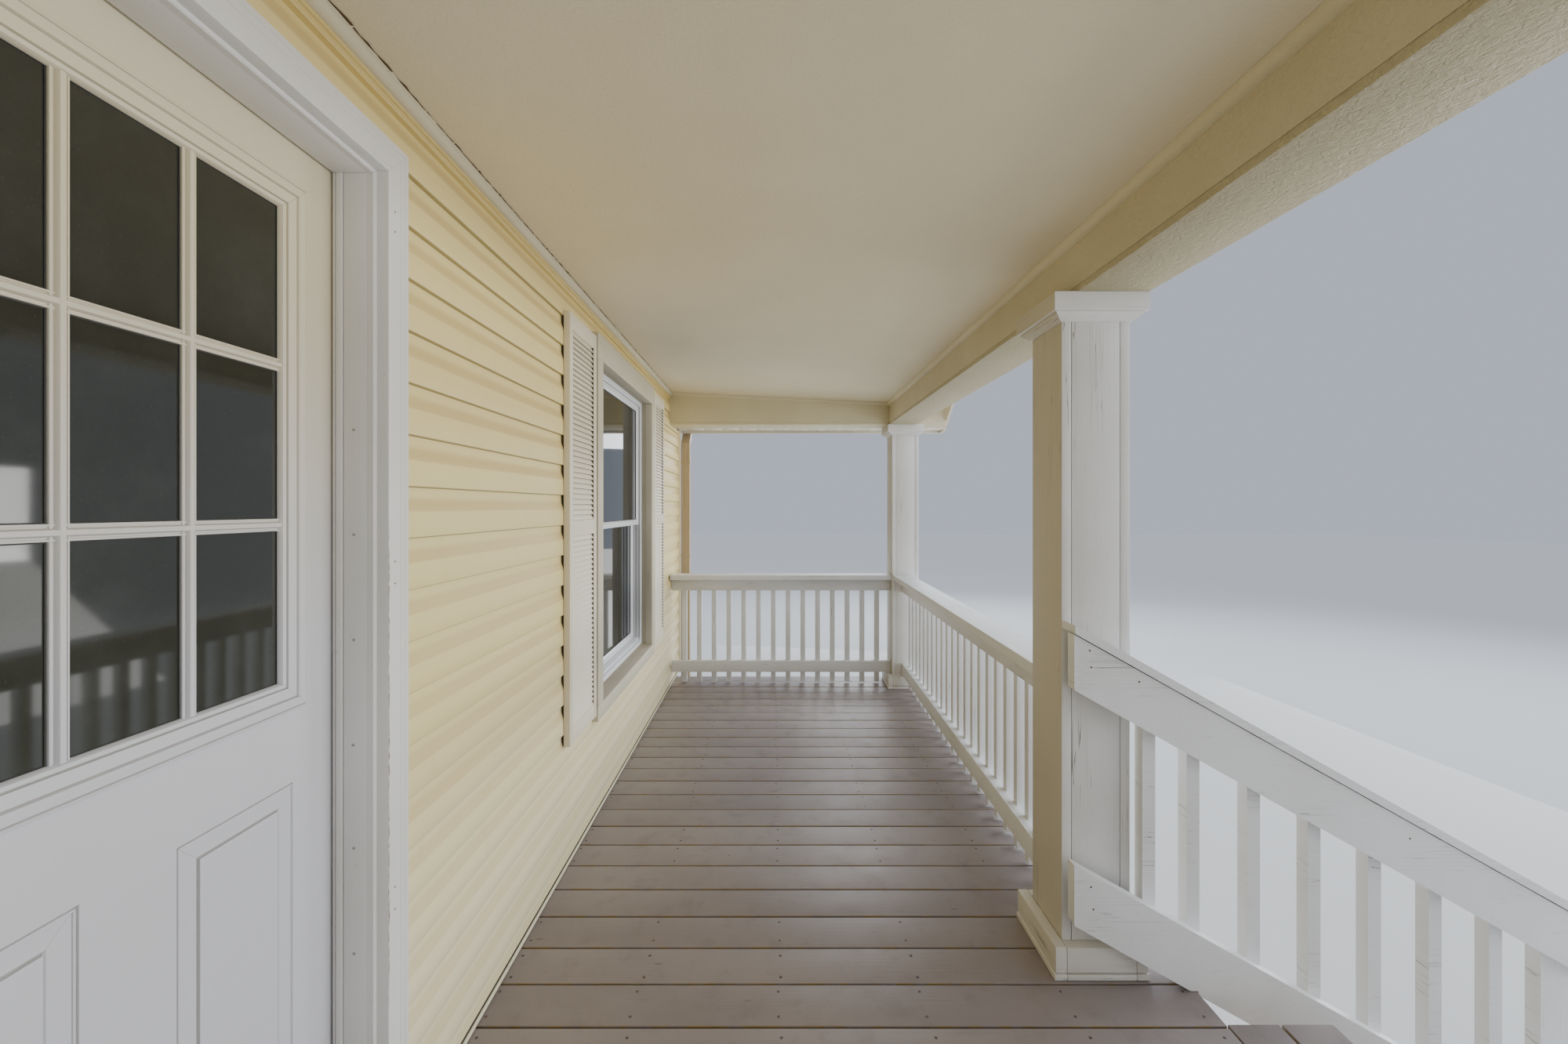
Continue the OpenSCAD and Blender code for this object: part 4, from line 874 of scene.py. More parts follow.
# Painted shade: the front beam's sides are a darker cream than the end beams, and its underside
# darker again.
shaded_beam_paint = material("thick cream paint", rough_cream("cdc3a5", "bfb492", 0.004))
shaded_beam_under = material("rough cream paint", rough_cream("c2b898", "b3a885", 0.007))
cream_wood = material("cream paint", rough_cream("d8ceaf", "cabf9c", 0.0012))
low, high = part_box("front_beam")
under = Shape(40)
under.board(low, (high.x, high.y, low.z + skin_t), ease=0.003)
beam = Shape(41)
for y0 in (low.y, high.y - skin_t):
    beam.board((low.x, y0, low.z + skin_t + seam), (high.x, y0 + skin_t, high.z), ease=0.002)
for x0 in (low.x, high.x - skin_t):
    beam.board((x0, low.y + skin_t, low.z + skin_t + seam),
               (x0 + skin_t, high.y - skin_t, high.z), along=1, ease=0.001)
beam.board((low.x + skin_t, low.y + skin_t, high.z - skin_t),
           (high.x - skin_t, high.y - skin_t, high.z), ease=0)
beam = joined("front_beam_boards", [under.skin("under", shaded_beam_under),
                                    beam.skin("sides", shaded_beam_paint)])
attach(beam, "porch")
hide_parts("front_beam")

low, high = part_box("end_beams")
beam_w = 0.212
ends = Shape(42)
for x0 in (low.x, high.x - beam_w):
    ends.board((x0, low.y, low.z), (x0 + beam_w, high.y, low.z + skin_t), along=1, ease=0.003)
    for side in (x0, x0 + beam_w - skin_t):
        ends.board((side, low.y, low.z + skin_t + seam), (side + skin_t, high.y, high.z),
                   along=1, ease=0.002)
    ends.board((x0 + skin_t, low.y, high.z - skin_t),
               (x0 + beam_w - skin_t, high.y, high.z), along=1, ease=0)
end_cream = material("pale cream paint", rough_cream("dcd3b2", "d0c6a2", 0.003))
ends = ends.done("end_beam_boards", end_cream)
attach(ends, "porch")
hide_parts("end_beams")


# Ceiling. Sheets are screwed up under the rafters, filled and rolled with thick cream paint,
# with a small strip in each corner and a ragged line of old caulk beside it.
def paint_ceiling(nodes):
    spot = nodes.place()
    broad = nodes.noise(spot, 0.9, 4, 0.6)
    roller = nodes.noise(spot, 130, 4, 0.6, 0.4)
    fine = nodes.noise(spot, 380, 2)
    blister = nodes.noise(spot, 5, 3, 0.6).between(0.62, 0.7)
    look = nodes.mix(broad.between(0.3, 0.7), rgb("e7dcbf"), rgb("dfd3b3"))
    look = nodes.mix(roller.between(0.6, 0.8) * 0.16, look, rgb("b9ab87"))
    return {"Base Color": look, "Roughness": fine * 0.15 + 0.6,
            "Normal": bump(nodes, roller + fine * 0.3 + blister * 0.6, 0.0014)}


finish("ceiling", material("rolled ceiling paint", paint_ceiling))

low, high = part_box("ceiling_trim")
beam_in_y, beam_in_x = local(-1.6955), 2.402
wall_z, beam_level = 2.8087, 2.7307
fall = (wall_z - beam_level) / (face_y - beam_in_y)
trim_w = 0.022
strips = Shape(43)


def under_ceiling(x, y, down=0.0):
    """Point below the sloping ceiling."""
    return Vector((x, y, wall_z - (face_y - y) * fall - 0.0006 - down))


quarter = [(0, 0), (trim_w, 0)] + [
    (trim_w * math.cos(a * math.pi / 10), trim_w * math.sin(a * math.pi / 10))
    for a in range(1, 5)] + [(0, trim_w)]
for y_at, way in ((beam_in_y, 1), (face_y, -1)):
    strips.leg([[under_ceiling(x, y_at + way * a, b) for a, b in quarter]
                for x in (-beam_in_x + trim_w, beam_in_x - trim_w)])
for side in (-1, 1):
    strips.leg([[under_ceiling(side * (beam_in_x - a), y, b) for a, b in quarter]
                for y in (beam_in_y, face_y)])
caulk_random = random.Random(5)
caulk_runs, caulk_pitch = 46, 0.104
crack_runs, crack_pitch = 40, 0.118
for run in range(caulk_runs):
    x = -beam_in_x + 0.1 + run * caulk_pitch
    rings = []
    for k in range(6):
        thick = 0.0015 + 0.0035 * caulk_random.random()
        at = under_ceiling(x + k * 0.0205, face_y - trim_w - 0.001, 0)
        rings.append([at + Vector((0, 0.002, 0)), at + Vector((0, 0.001, -thick)),
                      at + Vector((0, -thick, 0))])
    strips.leg(rings, tone=0.5)
# Painted shade: a thin dark ragged ribbon under the ceiling beside the wall's strip, for the shade
# in the crack there.
crack = Shape(44)
for run in range(crack_runs):
    x = -beam_in_x + 0.06 + run * crack_pitch
    rings = []
    for k in range(7):
        wide = 0.0012 + 0.0045 * caulk_random.random() ** 2
        at = under_ceiling(x + k * 0.0188, face_y - trim_w - 0.0035, 0)
        rings.append([at, at + Vector((0, 0, -0.0009)), at + Vector((0, -wide, -0.0009)),
                      at + Vector((0, -wide, 0))])
    crack.leg(rings, tone=0.5)
crack_shade = mottled("painted shade in a crack", 90, "3d301c", "6e5836", 0.9)
strips = joined("ceiling_strips", [strips.skin("strips", cream_wood),
                                   crack.skin("crack", crack_shade)])
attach(strips, "porch")
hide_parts("ceiling_trim")


# Siding. Pale yellow vinyl in courses of 114 mm, each with a flat face over a scooped top
# that the next course laps. It hooks together and ends in channels at every edge.
def paint_siding(nodes):
    spot, tone = nodes.place(), nodes.tone()
    z = nodes.parts(spot)[2]
    broad = nodes.noise(spot, 1.2, 3)
    wood = nodes.noise(nodes.stretch(spot, (5, 5, 130)), 3, 4, 0.6, 0.3)
    streak = nodes.noise(nodes.stretch(spot, (9, 9, 0.8), tone), 2, 3)
    dust = nodes.noise(spot, 140, 3, 0.7).between(0.6, 0.78)
    course = (z - (deck_z + first_course)) % course_h / course_h
    # Painted shade: a darker band across each course's scooped top, where the hollow lies in shade.
    # The band is weaker low on the wall.
    scoop_shade = course.between(0.49, 0.54) * (1 - course.between(0.7, 0.86))
    # Painted light: towards the deck the siding turns paler and less yellow, for the bluish sky
    # light that reaches the lower wall.
    low = 1 - (z - deck_z).between(0.2, 1.05)
    # Painted shadow: a dark line at each seam, along the butt edge of the course above and the top
    # of the course below.
    lap_shadow = (1 - course.between(0.006, 0.018)) * 0.55 + course.between(0.975, 0.99) * 0.7
    look = nodes.mix(broad, rgb("eedc9d"), rgb("e9d48f"))
    look = nodes.mix(tone * 0.18, look, rgb("e6d193"))
    look = nodes.mix(low * 0.6, look, rgb("efe8cf"))
    look = nodes.mix(streak.between(0.55, 0.8) * 0.12, look, rgb("cfb878"))
    look = nodes.mix(scoop_shade * (0.48 - low * 0.12), look, rgb("c9ad74"))
    look = nodes.mix(lap_shadow, look, rgb("6f6038"))
    look = nodes.mix(dust * 0.12, look, rgb("a8956a"))
    return {"Base Color": look, "Roughness": wood * 0.12 + 0.42,
            "Normal": bump(nodes, wood + dust * 0.2, 0.0004, 0.6)}


course_h, first_course, siding_t = 0.1143, 0.068, 0.013
siding_yellow = material("yellow vinyl siding", paint_siding)
course_face = [(0.0012, 0), (0.0002, 0.0015)] + [(depth, part * course_h) for depth, part in (
    (0.0006, 0.3), (0.0012, 0.5), (0.0022, 0.55), (0.0042, 0.61), (0.0066, 0.67),
    (0.0086, 0.73), (0.0096, 0.78), (0.01, 0.83), (0.0103, 1))]


def face_depth(height):
    """How far the face lies in at a height above the course's lower edge."""
    for (d0, h0), (d1, h1) in zip(course_face, course_face[1:]):
        if height <= h1:
            return d0 + (d1 - d0) * (height - h0) / (h1 - h0)
    return course_face[-1][0]


def lay_courses(shape, front, first, bottom, top, left, right, holes):
    """Courses of siding with their faces at y = front. left and right give x at a level, and
    holes are (x0, x1, z0, z1)."""
    course = math.floor((bottom - first) / course_h)
    while first + course * course_h < top:
        z0 = first + course * course_h
        low_z, high_z = max(z0, bottom), min(z0 + course_h, top)
        levels = {low_z, high_z}
        for hole in holes:
            levels |= {z for z in hole[2:] if low_z < z < high_z}
        levels = sorted(levels)
        tone = shape.random.random()
        for a, b in zip(levels, levels[1:]):
            if b - a < 0.0005:
                continue
            stops = sorted(h for h in holes if h[2] < (a + b) / 2 < h[3])
            runs, at = [], None
            for hole in stops:
                runs.append((at, hole[0]))
                at = hole[1]
            runs.append((at, None))
            face = [(face_depth(a - z0), a)] + [(d, z0 + h) for d, h in course_face
                                                if a < z0 + h < b] + [(face_depth(b - z0), b)]
            outline = [(siding_t, a)] + face + [(siding_t, b)]
            for x0, x1 in runs:
                starts = [x0 if x0 is not None else left(z) for d, z in outline]
                ends = [x1 if x1 is not None else right(z) for d, z in outline]
                if min(e - s for s, e in zip(starts, ends)) < 0.002:
                    continue
                shape.leg([[Vector((x, front + d, z)) for x, (d, z) in zip(side, outline)]
                           for side in (starts, ends)], tone=tone)
        course += 1


wall_half, strip_w = 2.868, 0.02
door_low, door_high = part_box("door_casing")
window_low, window_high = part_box("window_casing")
beam_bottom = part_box("end_beams")[0].z
soffit_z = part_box("soffits")[0].z
wall_holes = [
    (door_low.x - strip_w, door_high.x + strip_w, 0, door_high.z + strip_w),
    (window_low.x, window_high.x, window_low.z, window_high.z),
    (-wall_half - 1, -beam_in_x, beam_bottom, 9), (beam_in_x, wall_half + 1, beam_bottom, 9)]
siding = Shape(51)
lay_courses(siding, face_y, deck_z + first_course, deck_z + strip_w, wall_z,
            lambda z: -wall_half, lambda z: wall_half, wall_holes)
siding = siding.done("siding_courses", siding_yellow, smooth=40)
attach(siding, "porch")
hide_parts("siding")


# Siding channels and corner posts. They are of the same vinyl, creamier where they are
# painted over, and are nailed up first: the siding's ends sit in them beside the door, at
# the deck and under the ceiling.
def vinyl_trim(color, shade):
    """Smooth vinyl with old grime in its corners."""

    def paint(nodes):
        spot = nodes.place()
        broad = nodes.noise(spot, 3, 4)
        grime = nodes.noise(spot, 45, 4, 0.7).between(0.55, 0.8)
        look = nodes.mix(broad, rgb(color), rgb(shade))
        look = nodes.mix(grime * 0.3, look, rgb("a9946a"))
        return {"Base Color": look, "Roughness": broad * 0.15 + 0.42,
                "Normal": bump(nodes, grime, 0.0004)}

    return paint


channel_cream = material("cream channel", vinyl_trim("f0e8cc", "e6dab5"))
channel_yellow = material("yellow channel", vinyl_trim("e3cd8c", "d5bd78"))
channels = Shape(52)
channel = [(0, siding_t), (0, -0.004), (0.0015, -0.0055), (0.0155, -0.0055), (0.017, -0.004),
           (0.017, 0.0085), (strip_w, 0.009), (strip_w, siding_t)]
corner_w, corner_lap = 0.08, 0.015
for side, edge in ((-1, door_low.x), (1, door_high.x)):
    channels.prism([(edge + side * a, face_y + b) for a, b in channel], 2,
                   deck_z + strip_w + 0.001, door_high.z)
channels.prism([(face_y + b, door_high.z + 0.001 + a) for a, b in channel], 0,
               door_low.x - strip_w, door_high.x + strip_w)
base_strip = [(siding_t, 0.0005), (0.001, 0.0005), (0.001, 0.0035), (-0.0035, 0.004),
              (-0.004, 0.0055), (-0.004, 0.0125), (-0.002, 0.0143), (0.009, 0.0148),
              (0.0092, strip_w), (siding_t, strip_w)]
for x0, x1 in ((-wall_half, door_low.x - 0.001), (door_high.x + 0.001, wall_half)):
    channels.prism([(face_y + a, deck_z + b) for a, b in base_strip], 0, x0, x1)
for side in (-1, 1):
    outline = rounded([(side * (wall_half + 0.0001), face_y - corner_lap),
                       (side * (wall_half + siding_t), face_y - corner_lap),
                       (side * (wall_half + siding_t), face_y + corner_w),
                       (side * (wall_half + 0.0001), face_y + corner_w)], 0.002)
    channels.prism(outline, 2, deck_z, soffit_z)
top_channel = Shape(53)
top_strip = [(0.012, -0.027), (-0.0035, -0.027), (-0.005, -0.025), (-0.005, -0.017),
             (-0.001, -0.0155), (-0.001, -0.0115), (-0.005, -0.01), (-0.005, -0.002),
             (-0.0035, -0.0005), (0.012, -0.0005)]
top_channel.prism([(face_y + a, wall_z - 0.0006 - trim_w + b) for a, b in top_strip], 0,
                  -beam_in_x + 0.001, beam_in_x - 0.001)
# Painted shade: dark strips laid in the grooves beside the base strip and the door's channels.
shade_line = Shape(54)
for x0, x1 in ((-wall_half, door_low.x - strip_w), (door_high.x + strip_w, wall_half)):
    shade_line.board((x0, face_y + 0.001, deck_z + 0.0149), (x1, face_y + 0.008, deck_z + 0.0198),
                    ease=0)
for side, edge in ((-1, door_low.x), (1, door_high.x)):
    inner, outer = sorted((edge + side * 0.0171, edge + side * 0.0199))
    shade_line.board((inner, face_y + 0.003, deck_z + strip_w), (outer, face_y + 0.0084, door_high.z),
                    ease=0)
gap_shade = mottled("painted shade in the gaps", 120, "2e2a22", "4b4538", 0.9)
channels = joined("siding_channels", [channels.skin("channels", channel_cream),
                                      shade_line.skin("shade line", gap_shade),
                                      top_channel.skin("top channel", channel_yellow)])
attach(channels, "porch")
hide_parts("corner_trim")


# Door frame. White painted timber jambs with a stop, and a strip of foam weather seal let
# into the stop. They are screwed to the wall's studs, and the screw heads are painted over.
door_white = material("door frame paint", weathered("e3e1dd", "d0ccc3", 0.25, 0.25, 0.5, 0.42))
jamb_low, jamb_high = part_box("door_frame")
door_x = (jamb_low.x + jamb_high.x) / 2
jamb_t, stop_w, door_gap, leaf_t = 0.019, 0.013, 0.005, 0.044
rabbet = (jamb_high.x - jamb_low.x) / 2 - jamb_t
stop_y = jamb_high.y - leaf_t - door_gap
head_z = jamb_high.z - jamb_t
jambs = Shape(61)
seal = stop_y - 0.02
stop_x = rabbet - stop_w
jamb_outline = [(stop_x, jamb_low.y), (rabbet + jamb_t, jamb_low.y),
                (rabbet + jamb_t, jamb_high.y), (rabbet, jamb_high.y), (rabbet, stop_y),
                (stop_x, stop_y), (stop_x, seal + 0.0155), (stop_x + 0.004, seal + 0.0152),
                (stop_x + 0.004, seal + 0.0135), (stop_x - 0.0015, seal + 0.013),
                (stop_x - 0.0015, seal + 0.001), (stop_x + 0.004, seal),
                (stop_x + 0.004, seal - 0.0017), (stop_x, seal - 0.002)]
for side in (-1, 1):
    jambs.prism(rounded([(door_x + side * a, b) for a, b in jamb_outline], 0.0012), 2,
                jamb_low.z, head_z - stop_w - 0.0005)
jambs.prism(rounded([(jamb_low.y, head_z - stop_w), (stop_y, head_z - stop_w), (stop_y, head_z),
                     (jamb_high.y, head_z), (jamb_high.y, jamb_high.z),
                     (jamb_low.y, jamb_high.z)], 0.0015), 0, jamb_low.x, jamb_high.x)
jambs = [jambs.skin("jambs", door_white)]
grey_screw = mottled("painted screw in the jamb", 400, "85817a", "b5b1aa", 0.5)
screw_r, screws_down, first_screw, screw_pitch = 0.0031, 8, 0.086, 0.209
screw_y = local(0.038)
for side in (-1, 1):
    screw = Shape()
    face_x = door_x + side * stop_x
    screw.prism(circle(screw_r, 10), 0, face_x - side * 0.0004, face_x + side * 0.001)
    jambs.append(repeated(screw, screws_down, (0, screw_y, deck_z + first_screw),
                          (0, 0, screw_pitch), grey_screw, shift=(0, 0.0012, 0.002), seed=7))
jambs = joined("door_jambs", jambs)
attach(jambs, "porch")
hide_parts("door_frame")

# Door casing. A thick flat board with two fine grooves near its outer edge, mitred and nailed
# on around the door. A strip of the jamb shows inside it, the nail heads have rusted, and the
# paint has chipped off along the inner edge.
casing_w, casing_out = 0.068, 0.027
inner_x = (door_high.x - door_low.x) / 2 - casing_w
casing_profile = [(-0.0075, -siding_t), (-0.0075, 0.0002), (-0.006, 0.002), (-0.001, 0.002),
                  (0, 0.0028), (0, 0.0245), (0.0007, 0.0263), (0.0024, 0.027), (0.0385, 0.027),
                  (0.0391, 0.0256), (0.0403, 0.0256), (0.0411, 0.0268), (0.0535, 0.0268),
                  (0.0541, 0.0254), (0.0553, 0.0254), (0.0561, 0.0266), (casing_w - 0.002, 0.0266),
                  (casing_w, 0.0245), (casing_w, -siding_t)]


def dome(shape, x, y, z, radius, rise):
    """Round head of a screw on a face that looks towards -Y."""
    rings = []
    for r, out in ((1, 0), (0.95, 0.35), (0.7, 0.8), (0.3, 1)):
        rings.append([Vector((a, y - rise * out, b)) for a, b in circle(radius * r, 10, x, z)])
    shape.leg(rings)


def paint_casing(nodes):
    made = weathered("e3e1dd", "d0ccc3", 0.25, 0.25, 0.5, 0.42)(nodes)
    x, y, z = nodes.parts(nodes.place())
    ragged = nodes.noise(nodes.stretch(nodes.place(), (90, 90, 14)), 4, 4, 0.7)
    from_edge = abs(abs(x - door_x) - inner_x - 0.001)
    from_edge = from_edge + abs(y - face_y + casing_out) * 0.8 + ragged * 0.007
    chipped = 1 - from_edge.between(0.0035, 0.0052)
    part_way = (z - deck_z).between(0.35, 0.5) * (1 - (z - deck_z).between(1.25, 1.4))
    made["Base Color"] = nodes.mix(chipped * part_way, made["Base Color"], rgb("8a7350"))
    return made


rusty = mottled("rusty screw", 300, "4a3a26", "7d6544", 0.7)
casing = Shape(62)
path = [(door_x + inner_x, face_y, deck_z), (door_x + inner_x, face_y, door_high.z - casing_w),
        (door_x - inner_x, face_y, door_high.z - casing_w), (door_x - inner_x, face_y, deck_z)]
casing.moulding(path, casing_profile, (0, -1, 0), closed=False)
nails = Shape(60)
for x in (door_x + inner_x + 0.02, door_x - inner_x - 0.02):
    for z in (1.283, 1.2385, 1.995, 1.955, 0.62, 0.575):
        dome(nails, x, face_y - casing_out + 0.0003, deck_z + z, 0.0026, 0.0006)
casing_paint = material("casing paint", paint_casing)
casing = joined("door_casing_moulding", [casing.skin("casing", casing_paint),
                                         nails.skin("nails", rusty)])
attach(casing, "porch")
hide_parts("door_casing")


# Threshold. A worn aluminium sill with ribs for grip, screwed down between the jambs, with
# a nose that slopes out to shed the water.
def paint_sill(nodes):
    spot = nodes.place()
    rub = nodes.noise(nodes.stretch(spot, (3, 60, 60)), 4, 4, 0.6)
    dirt = nodes.noise(spot, 40, 4, 0.7).between(0.45, 0.8)
    look = nodes.mix(rub, rgb("8f8a82"), rgb("b4afa6"))
    look = nodes.mix(dirt * 0.6, look, rgb("5a5046"))
    return {"Base Color": look, "Metallic": 1 - dirt * 0.5, "Roughness": rub * 0.25 + 0.35,
            "Normal": bump(nodes, rub, 0.0004)}


low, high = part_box("door_sill")
sill = Shape(63)
sill.board((jamb_low.x, jamb_low.y, low.z), (jamb_high.x, high.y, high.z - 0.004), ease=0.002)
for k in range(7):
    sill.board((jamb_low.x + jamb_t, jamb_low.y + 0.008 + k * 0.015, high.z - 0.005),
               (jamb_high.x - jamb_t, jamb_low.y + 0.014 + k * 0.015, high.z), ease=0.0012)
sill.prism(rounded([(low.y, low.z), (jamb_low.y, low.z), (jamb_low.y, high.z - 0.002),
                    (low.y, low.z + 0.012)], 0.002), 0, door_x - inner_x + 0.009,
           door_x + inner_x - 0.009)
sill = sill.done("door_threshold", material("worn aluminium", paint_sill))
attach(sill, "porch")
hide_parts("door_sill")


# Door leaf. A painted steel skin over foam, with nine lights in a moulded frame above two
# pressed panels. It hangs on three butt hinges at the end towards the window.
def paint_leaf(nodes):
    spot = nodes.place()
    z = nodes.parts(spot)[2]
    broad = nodes.noise(spot, 2.2, 4, 0.6)
    peel = nodes.noise(spot, 190, 3, 0.6)
    scuff = nodes.noise(nodes.stretch(spot, (20, 20, 6)), 2, 4, 0.7).between(0.66, 0.8)
    low_dirt = (1 - (z - 0.57).between(0, 0.5)) * nodes.noise(spot, 9, 4, 0.7).between(0.4, 0.75)
    # Painted light: the paint runs from a cool bluish grey low down to a warm cream towards the top,
    # for sky light below and warm light off the ceiling above.
    look = nodes.mix(broad, rgb("cfcfd3"), rgb("c9c7c9"))
    look = nodes.mix((z - deck_z).between(1.0, 1.9) * 0.9, look, rgb("d6cbab"))
    look = nodes.mix(scuff * 0.2, look, rgb("b9b0a2"))
    look = nodes.mix(low_dirt * 0.25, look, rgb("a89e8f"))
    return {"Base Color": look, "Roughness": peel * 0.15 + 0.36,
            "Normal": bump(nodes, peel, 0.0003, 0.6)}


leaf_paint = material("door paint", paint_leaf)
low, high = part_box("door_leaf")
glass_low, glass_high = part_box("door_glass")
edge_in, light_margin, light_frame_w = 0.008, 0.029, 0.058
light_low = Vector((glass_low.x + edge_in, 0, glass_low.z + edge_in))
light_high = Vector((glass_high.x - edge_in, 0, glass_high.z - edge_in))
panel_w, panel_h, panel_gap, panel_drop = 0.223, 0.65, 0.124, 0.129
panel_top = light_low.z - light_frame_w - panel_drop
panel_foot = panel_top - panel_h
leaf = Shape(64)
hole = (light_low.x - light_margin, light_high.x + light_margin, light_low.z - light_margin,
        light_high.z + light_margin)
panels = [(door_x - panel_gap / 2 - panel_w, door_x - panel_gap / 2),
          (door_x + panel_gap / 2, door_x + panel_gap / 2 + panel_w)]
core_in = 0.0095
for x0, x1, z0, z1, along in (
        (low.x, hole[0], low.z, high.z, 2), (hole[1], high.x, low.z, high.z, 2),
        (hole[0], hole[1], hole[3], high.z, 0), (hole[0], hole[1], panel_top, hole[2], 0),
        (panels[0][1], panels[1][0], panel_foot, panel_top, 2),
        (hole[0], hole[1], low.z, panel_foot, 0)):
    leaf.board((x0, low.y, z0), (x1, high.y, z1), along=along, ease=0)
pressed = [(0, -core_in - 0.001), (0, 0), (-0.001, -0.0003), (-0.0018, -0.003), (-0.0034, -0.003),
           (-0.0042, -0.0008), (-0.0068, -0.0008), (-0.0074, -0.0028), (-0.012, -0.0034),
           (-0.034, -0.0026), (-0.0365, -0.0052), (-0.0382, -0.0052), (-0.039, -0.0008),
           (-0.039, -core_in - 0.001)]


def upright(x0, x1, y, z0, z1, out=-1):
    """Corners of an upright rectangle whose moulding stands out along Y."""
    corners = [(x0, y, z0), (x1, y, z0), (x1, y, z1), (x0, y, z1)]
    return corners if out < 0 else corners[::-1]


def groove_shade(shape, corners, grooves, out):
    """Thin lines of painted shade that lie in a moulding's grooves, given as (start, end, level)."""
    for start, end, level in grooves:
        shape.moulding(corners, [(start, level), (start, level + 0.0004), (end, level + 0.0004),
                                 (end, level)], (0, out, 0))


# The Shape below holds lines of painted shade for the panels' grooves.
dirt = Shape(69)
for x0, x1 in panels:
    leaf.board((x0, low.y + core_in, panel_foot), (x1, high.y - core_in, panel_top), ease=0)
    for y, out in ((low.y, -1), (high.y, 1)):
        corners = upright(x0, x1, y, panel_foot, panel_top, out)
        leaf.moulding(corners, pressed, (0, out, 0))
        groove_shade(dirt, corners, ((-0.0033, -0.0019, -0.003), (-0.0381, -0.0366, -0.0052)), out)
        inner, outer = sorted((y - out * 0.0008, y - out * 0.02))
        leaf.board((x0 + 0.0385, inner, panel_foot + 0.0385),
                   (x1 - 0.0385, outer, panel_top - 0.0385), ease=0)
groove_shade_paint = mottled("painted shade in a groove", 60, "8a8378", "b3aca0", 0.8)
leaf = joined("door_leaf_skin", [leaf.skin("leaf", leaf_paint), dirt.skin("dirt", groove_shade_paint)])
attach(leaf, "door")
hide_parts("door_leaf")

# Lights' frame. Moulded plastic in two halves, screwed together through the leaf from inside,
# with clipped-in bars that part the glass into nine lights.
light_frame = Shape(65)
# This Shape holds lines of painted shade for the frame's grooves.
frame_groove_shade = Shape(70)
light_step = 0.028
ogee = [(-0.001, -0.005), (0, 0.0005), (0.0025, 0.004), (0.0075, 0.0055), (0.0085, 0.0032),
        (0.0098, 0.0032), (0.0105, 0.0072), (0.0282, 0.0079), (0.029, 0.0058), (0.0305, 0.0058),
        (0.032, 0.0098), (0.040, 0.01), (0.0465, 0.0094), (0.0492, 0.0055), (0.0508, 0.0055),
        (0.052, 0.0064), (0.0565, 0.005), (light_frame_w, 0.0015), (light_frame_w, -0.001),
        (light_step, -0.001), (light_step, -0.005)]
bar_w, bar_out = 0.022, 0.004
pane_in, pane_t = 0.0055, 0.003
glass_face = {-1: low.y + pane_in, 1: high.y - pane_in}
bar_half = bar_w / 2
for y, out in ((low.y, -1), (high.y, 1)):
    corners = upright(light_low.x, light_high.x, y, light_low.z, light_high.z, out)
    light_frame.moulding(corners, ogee, (0, out, 0))
    groove_shade(frame_groove_shade, corners, ((0.0086, 0.0097, 0.0032), (0.0291, 0.0304, 0.0058),
                                      (0.0493, 0.0507, 0.0055)), out)
    deep = abs(glass_face[out] - y)
    bar_side = [(-bar_half, -deep), (-bar_half, -0.0012), (-bar_half + 0.0008, -0.0004),
                (-bar_half + 0.0026, -0.0004), (-bar_half + 0.003, -0.003),
                (-bar_half + 0.0055, -0.0022), (-bar_half + 0.0065, 0.0022),
                (-bar_half + 0.0078, bar_out)]
    bar = bar_side + [(-a, b) for a, b in reversed(bar_side)]
    for k in (1, 2):
        x = light_low.x + k * (light_high.x - light_low.x) / 3
        light_frame.prism([(x + a, y + out * b) for a, b in bar], 2, light_low.z, light_high.z)
        z = light_low.z + k * (light_high.z - light_low.z) / 3
        light_frame.prism([(y + out * (b - 0.0002), z + a) for a, b in bar], 0, light_low.x,
                          light_high.x)
for x0, x1 in ((light_low.x - light_step, light_low.x - edge_in),
               (light_high.x + edge_in, light_high.x + light_step)):
    light_frame.board((x0, glass_face[-1] + 0.001, light_low.z - light_step),
                      (x1, glass_face[1] - 0.001, light_high.z + light_step), along=2, ease=0)
# The frame shares the door's paint, with the same painted light from cool below to warm above.
light_plastic = material("moulded frame plastic", paint_leaf)
light_frame = joined("door_light_moulding", [light_frame.skin("frame", light_plastic),
                                             frame_groove_shade.skin("dirt", groove_shade_paint)])
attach(light_frame, "door")
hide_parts("door_light_frame")


# Door glass. Two panes on a coated spacer bar, held in the lights' frame by dark gaskets. The
# hall behind is dark, so the panes look dark and glossy by day under a film of dust.
def dark_glass(color, haze):
    """Glossy glass in front of the dark, with dust on it."""

    def paint(nodes):
        spot = nodes.place()
        film = nodes.noise(spot, 5, 5, 0.65)
        dust = nodes.noise(spot, 300, 2, 0.7).between(0.62, 0.8)
        look = nodes.mix(film.between(0.4, 0.8) * 0.35, rgb(color), rgb(haze))
        look = nodes.mix(dust * 0.12, look, rgb("8d9092"))
        return {"Base Color": look, "Roughness": film * 0.05 + 0.015}

    return paint


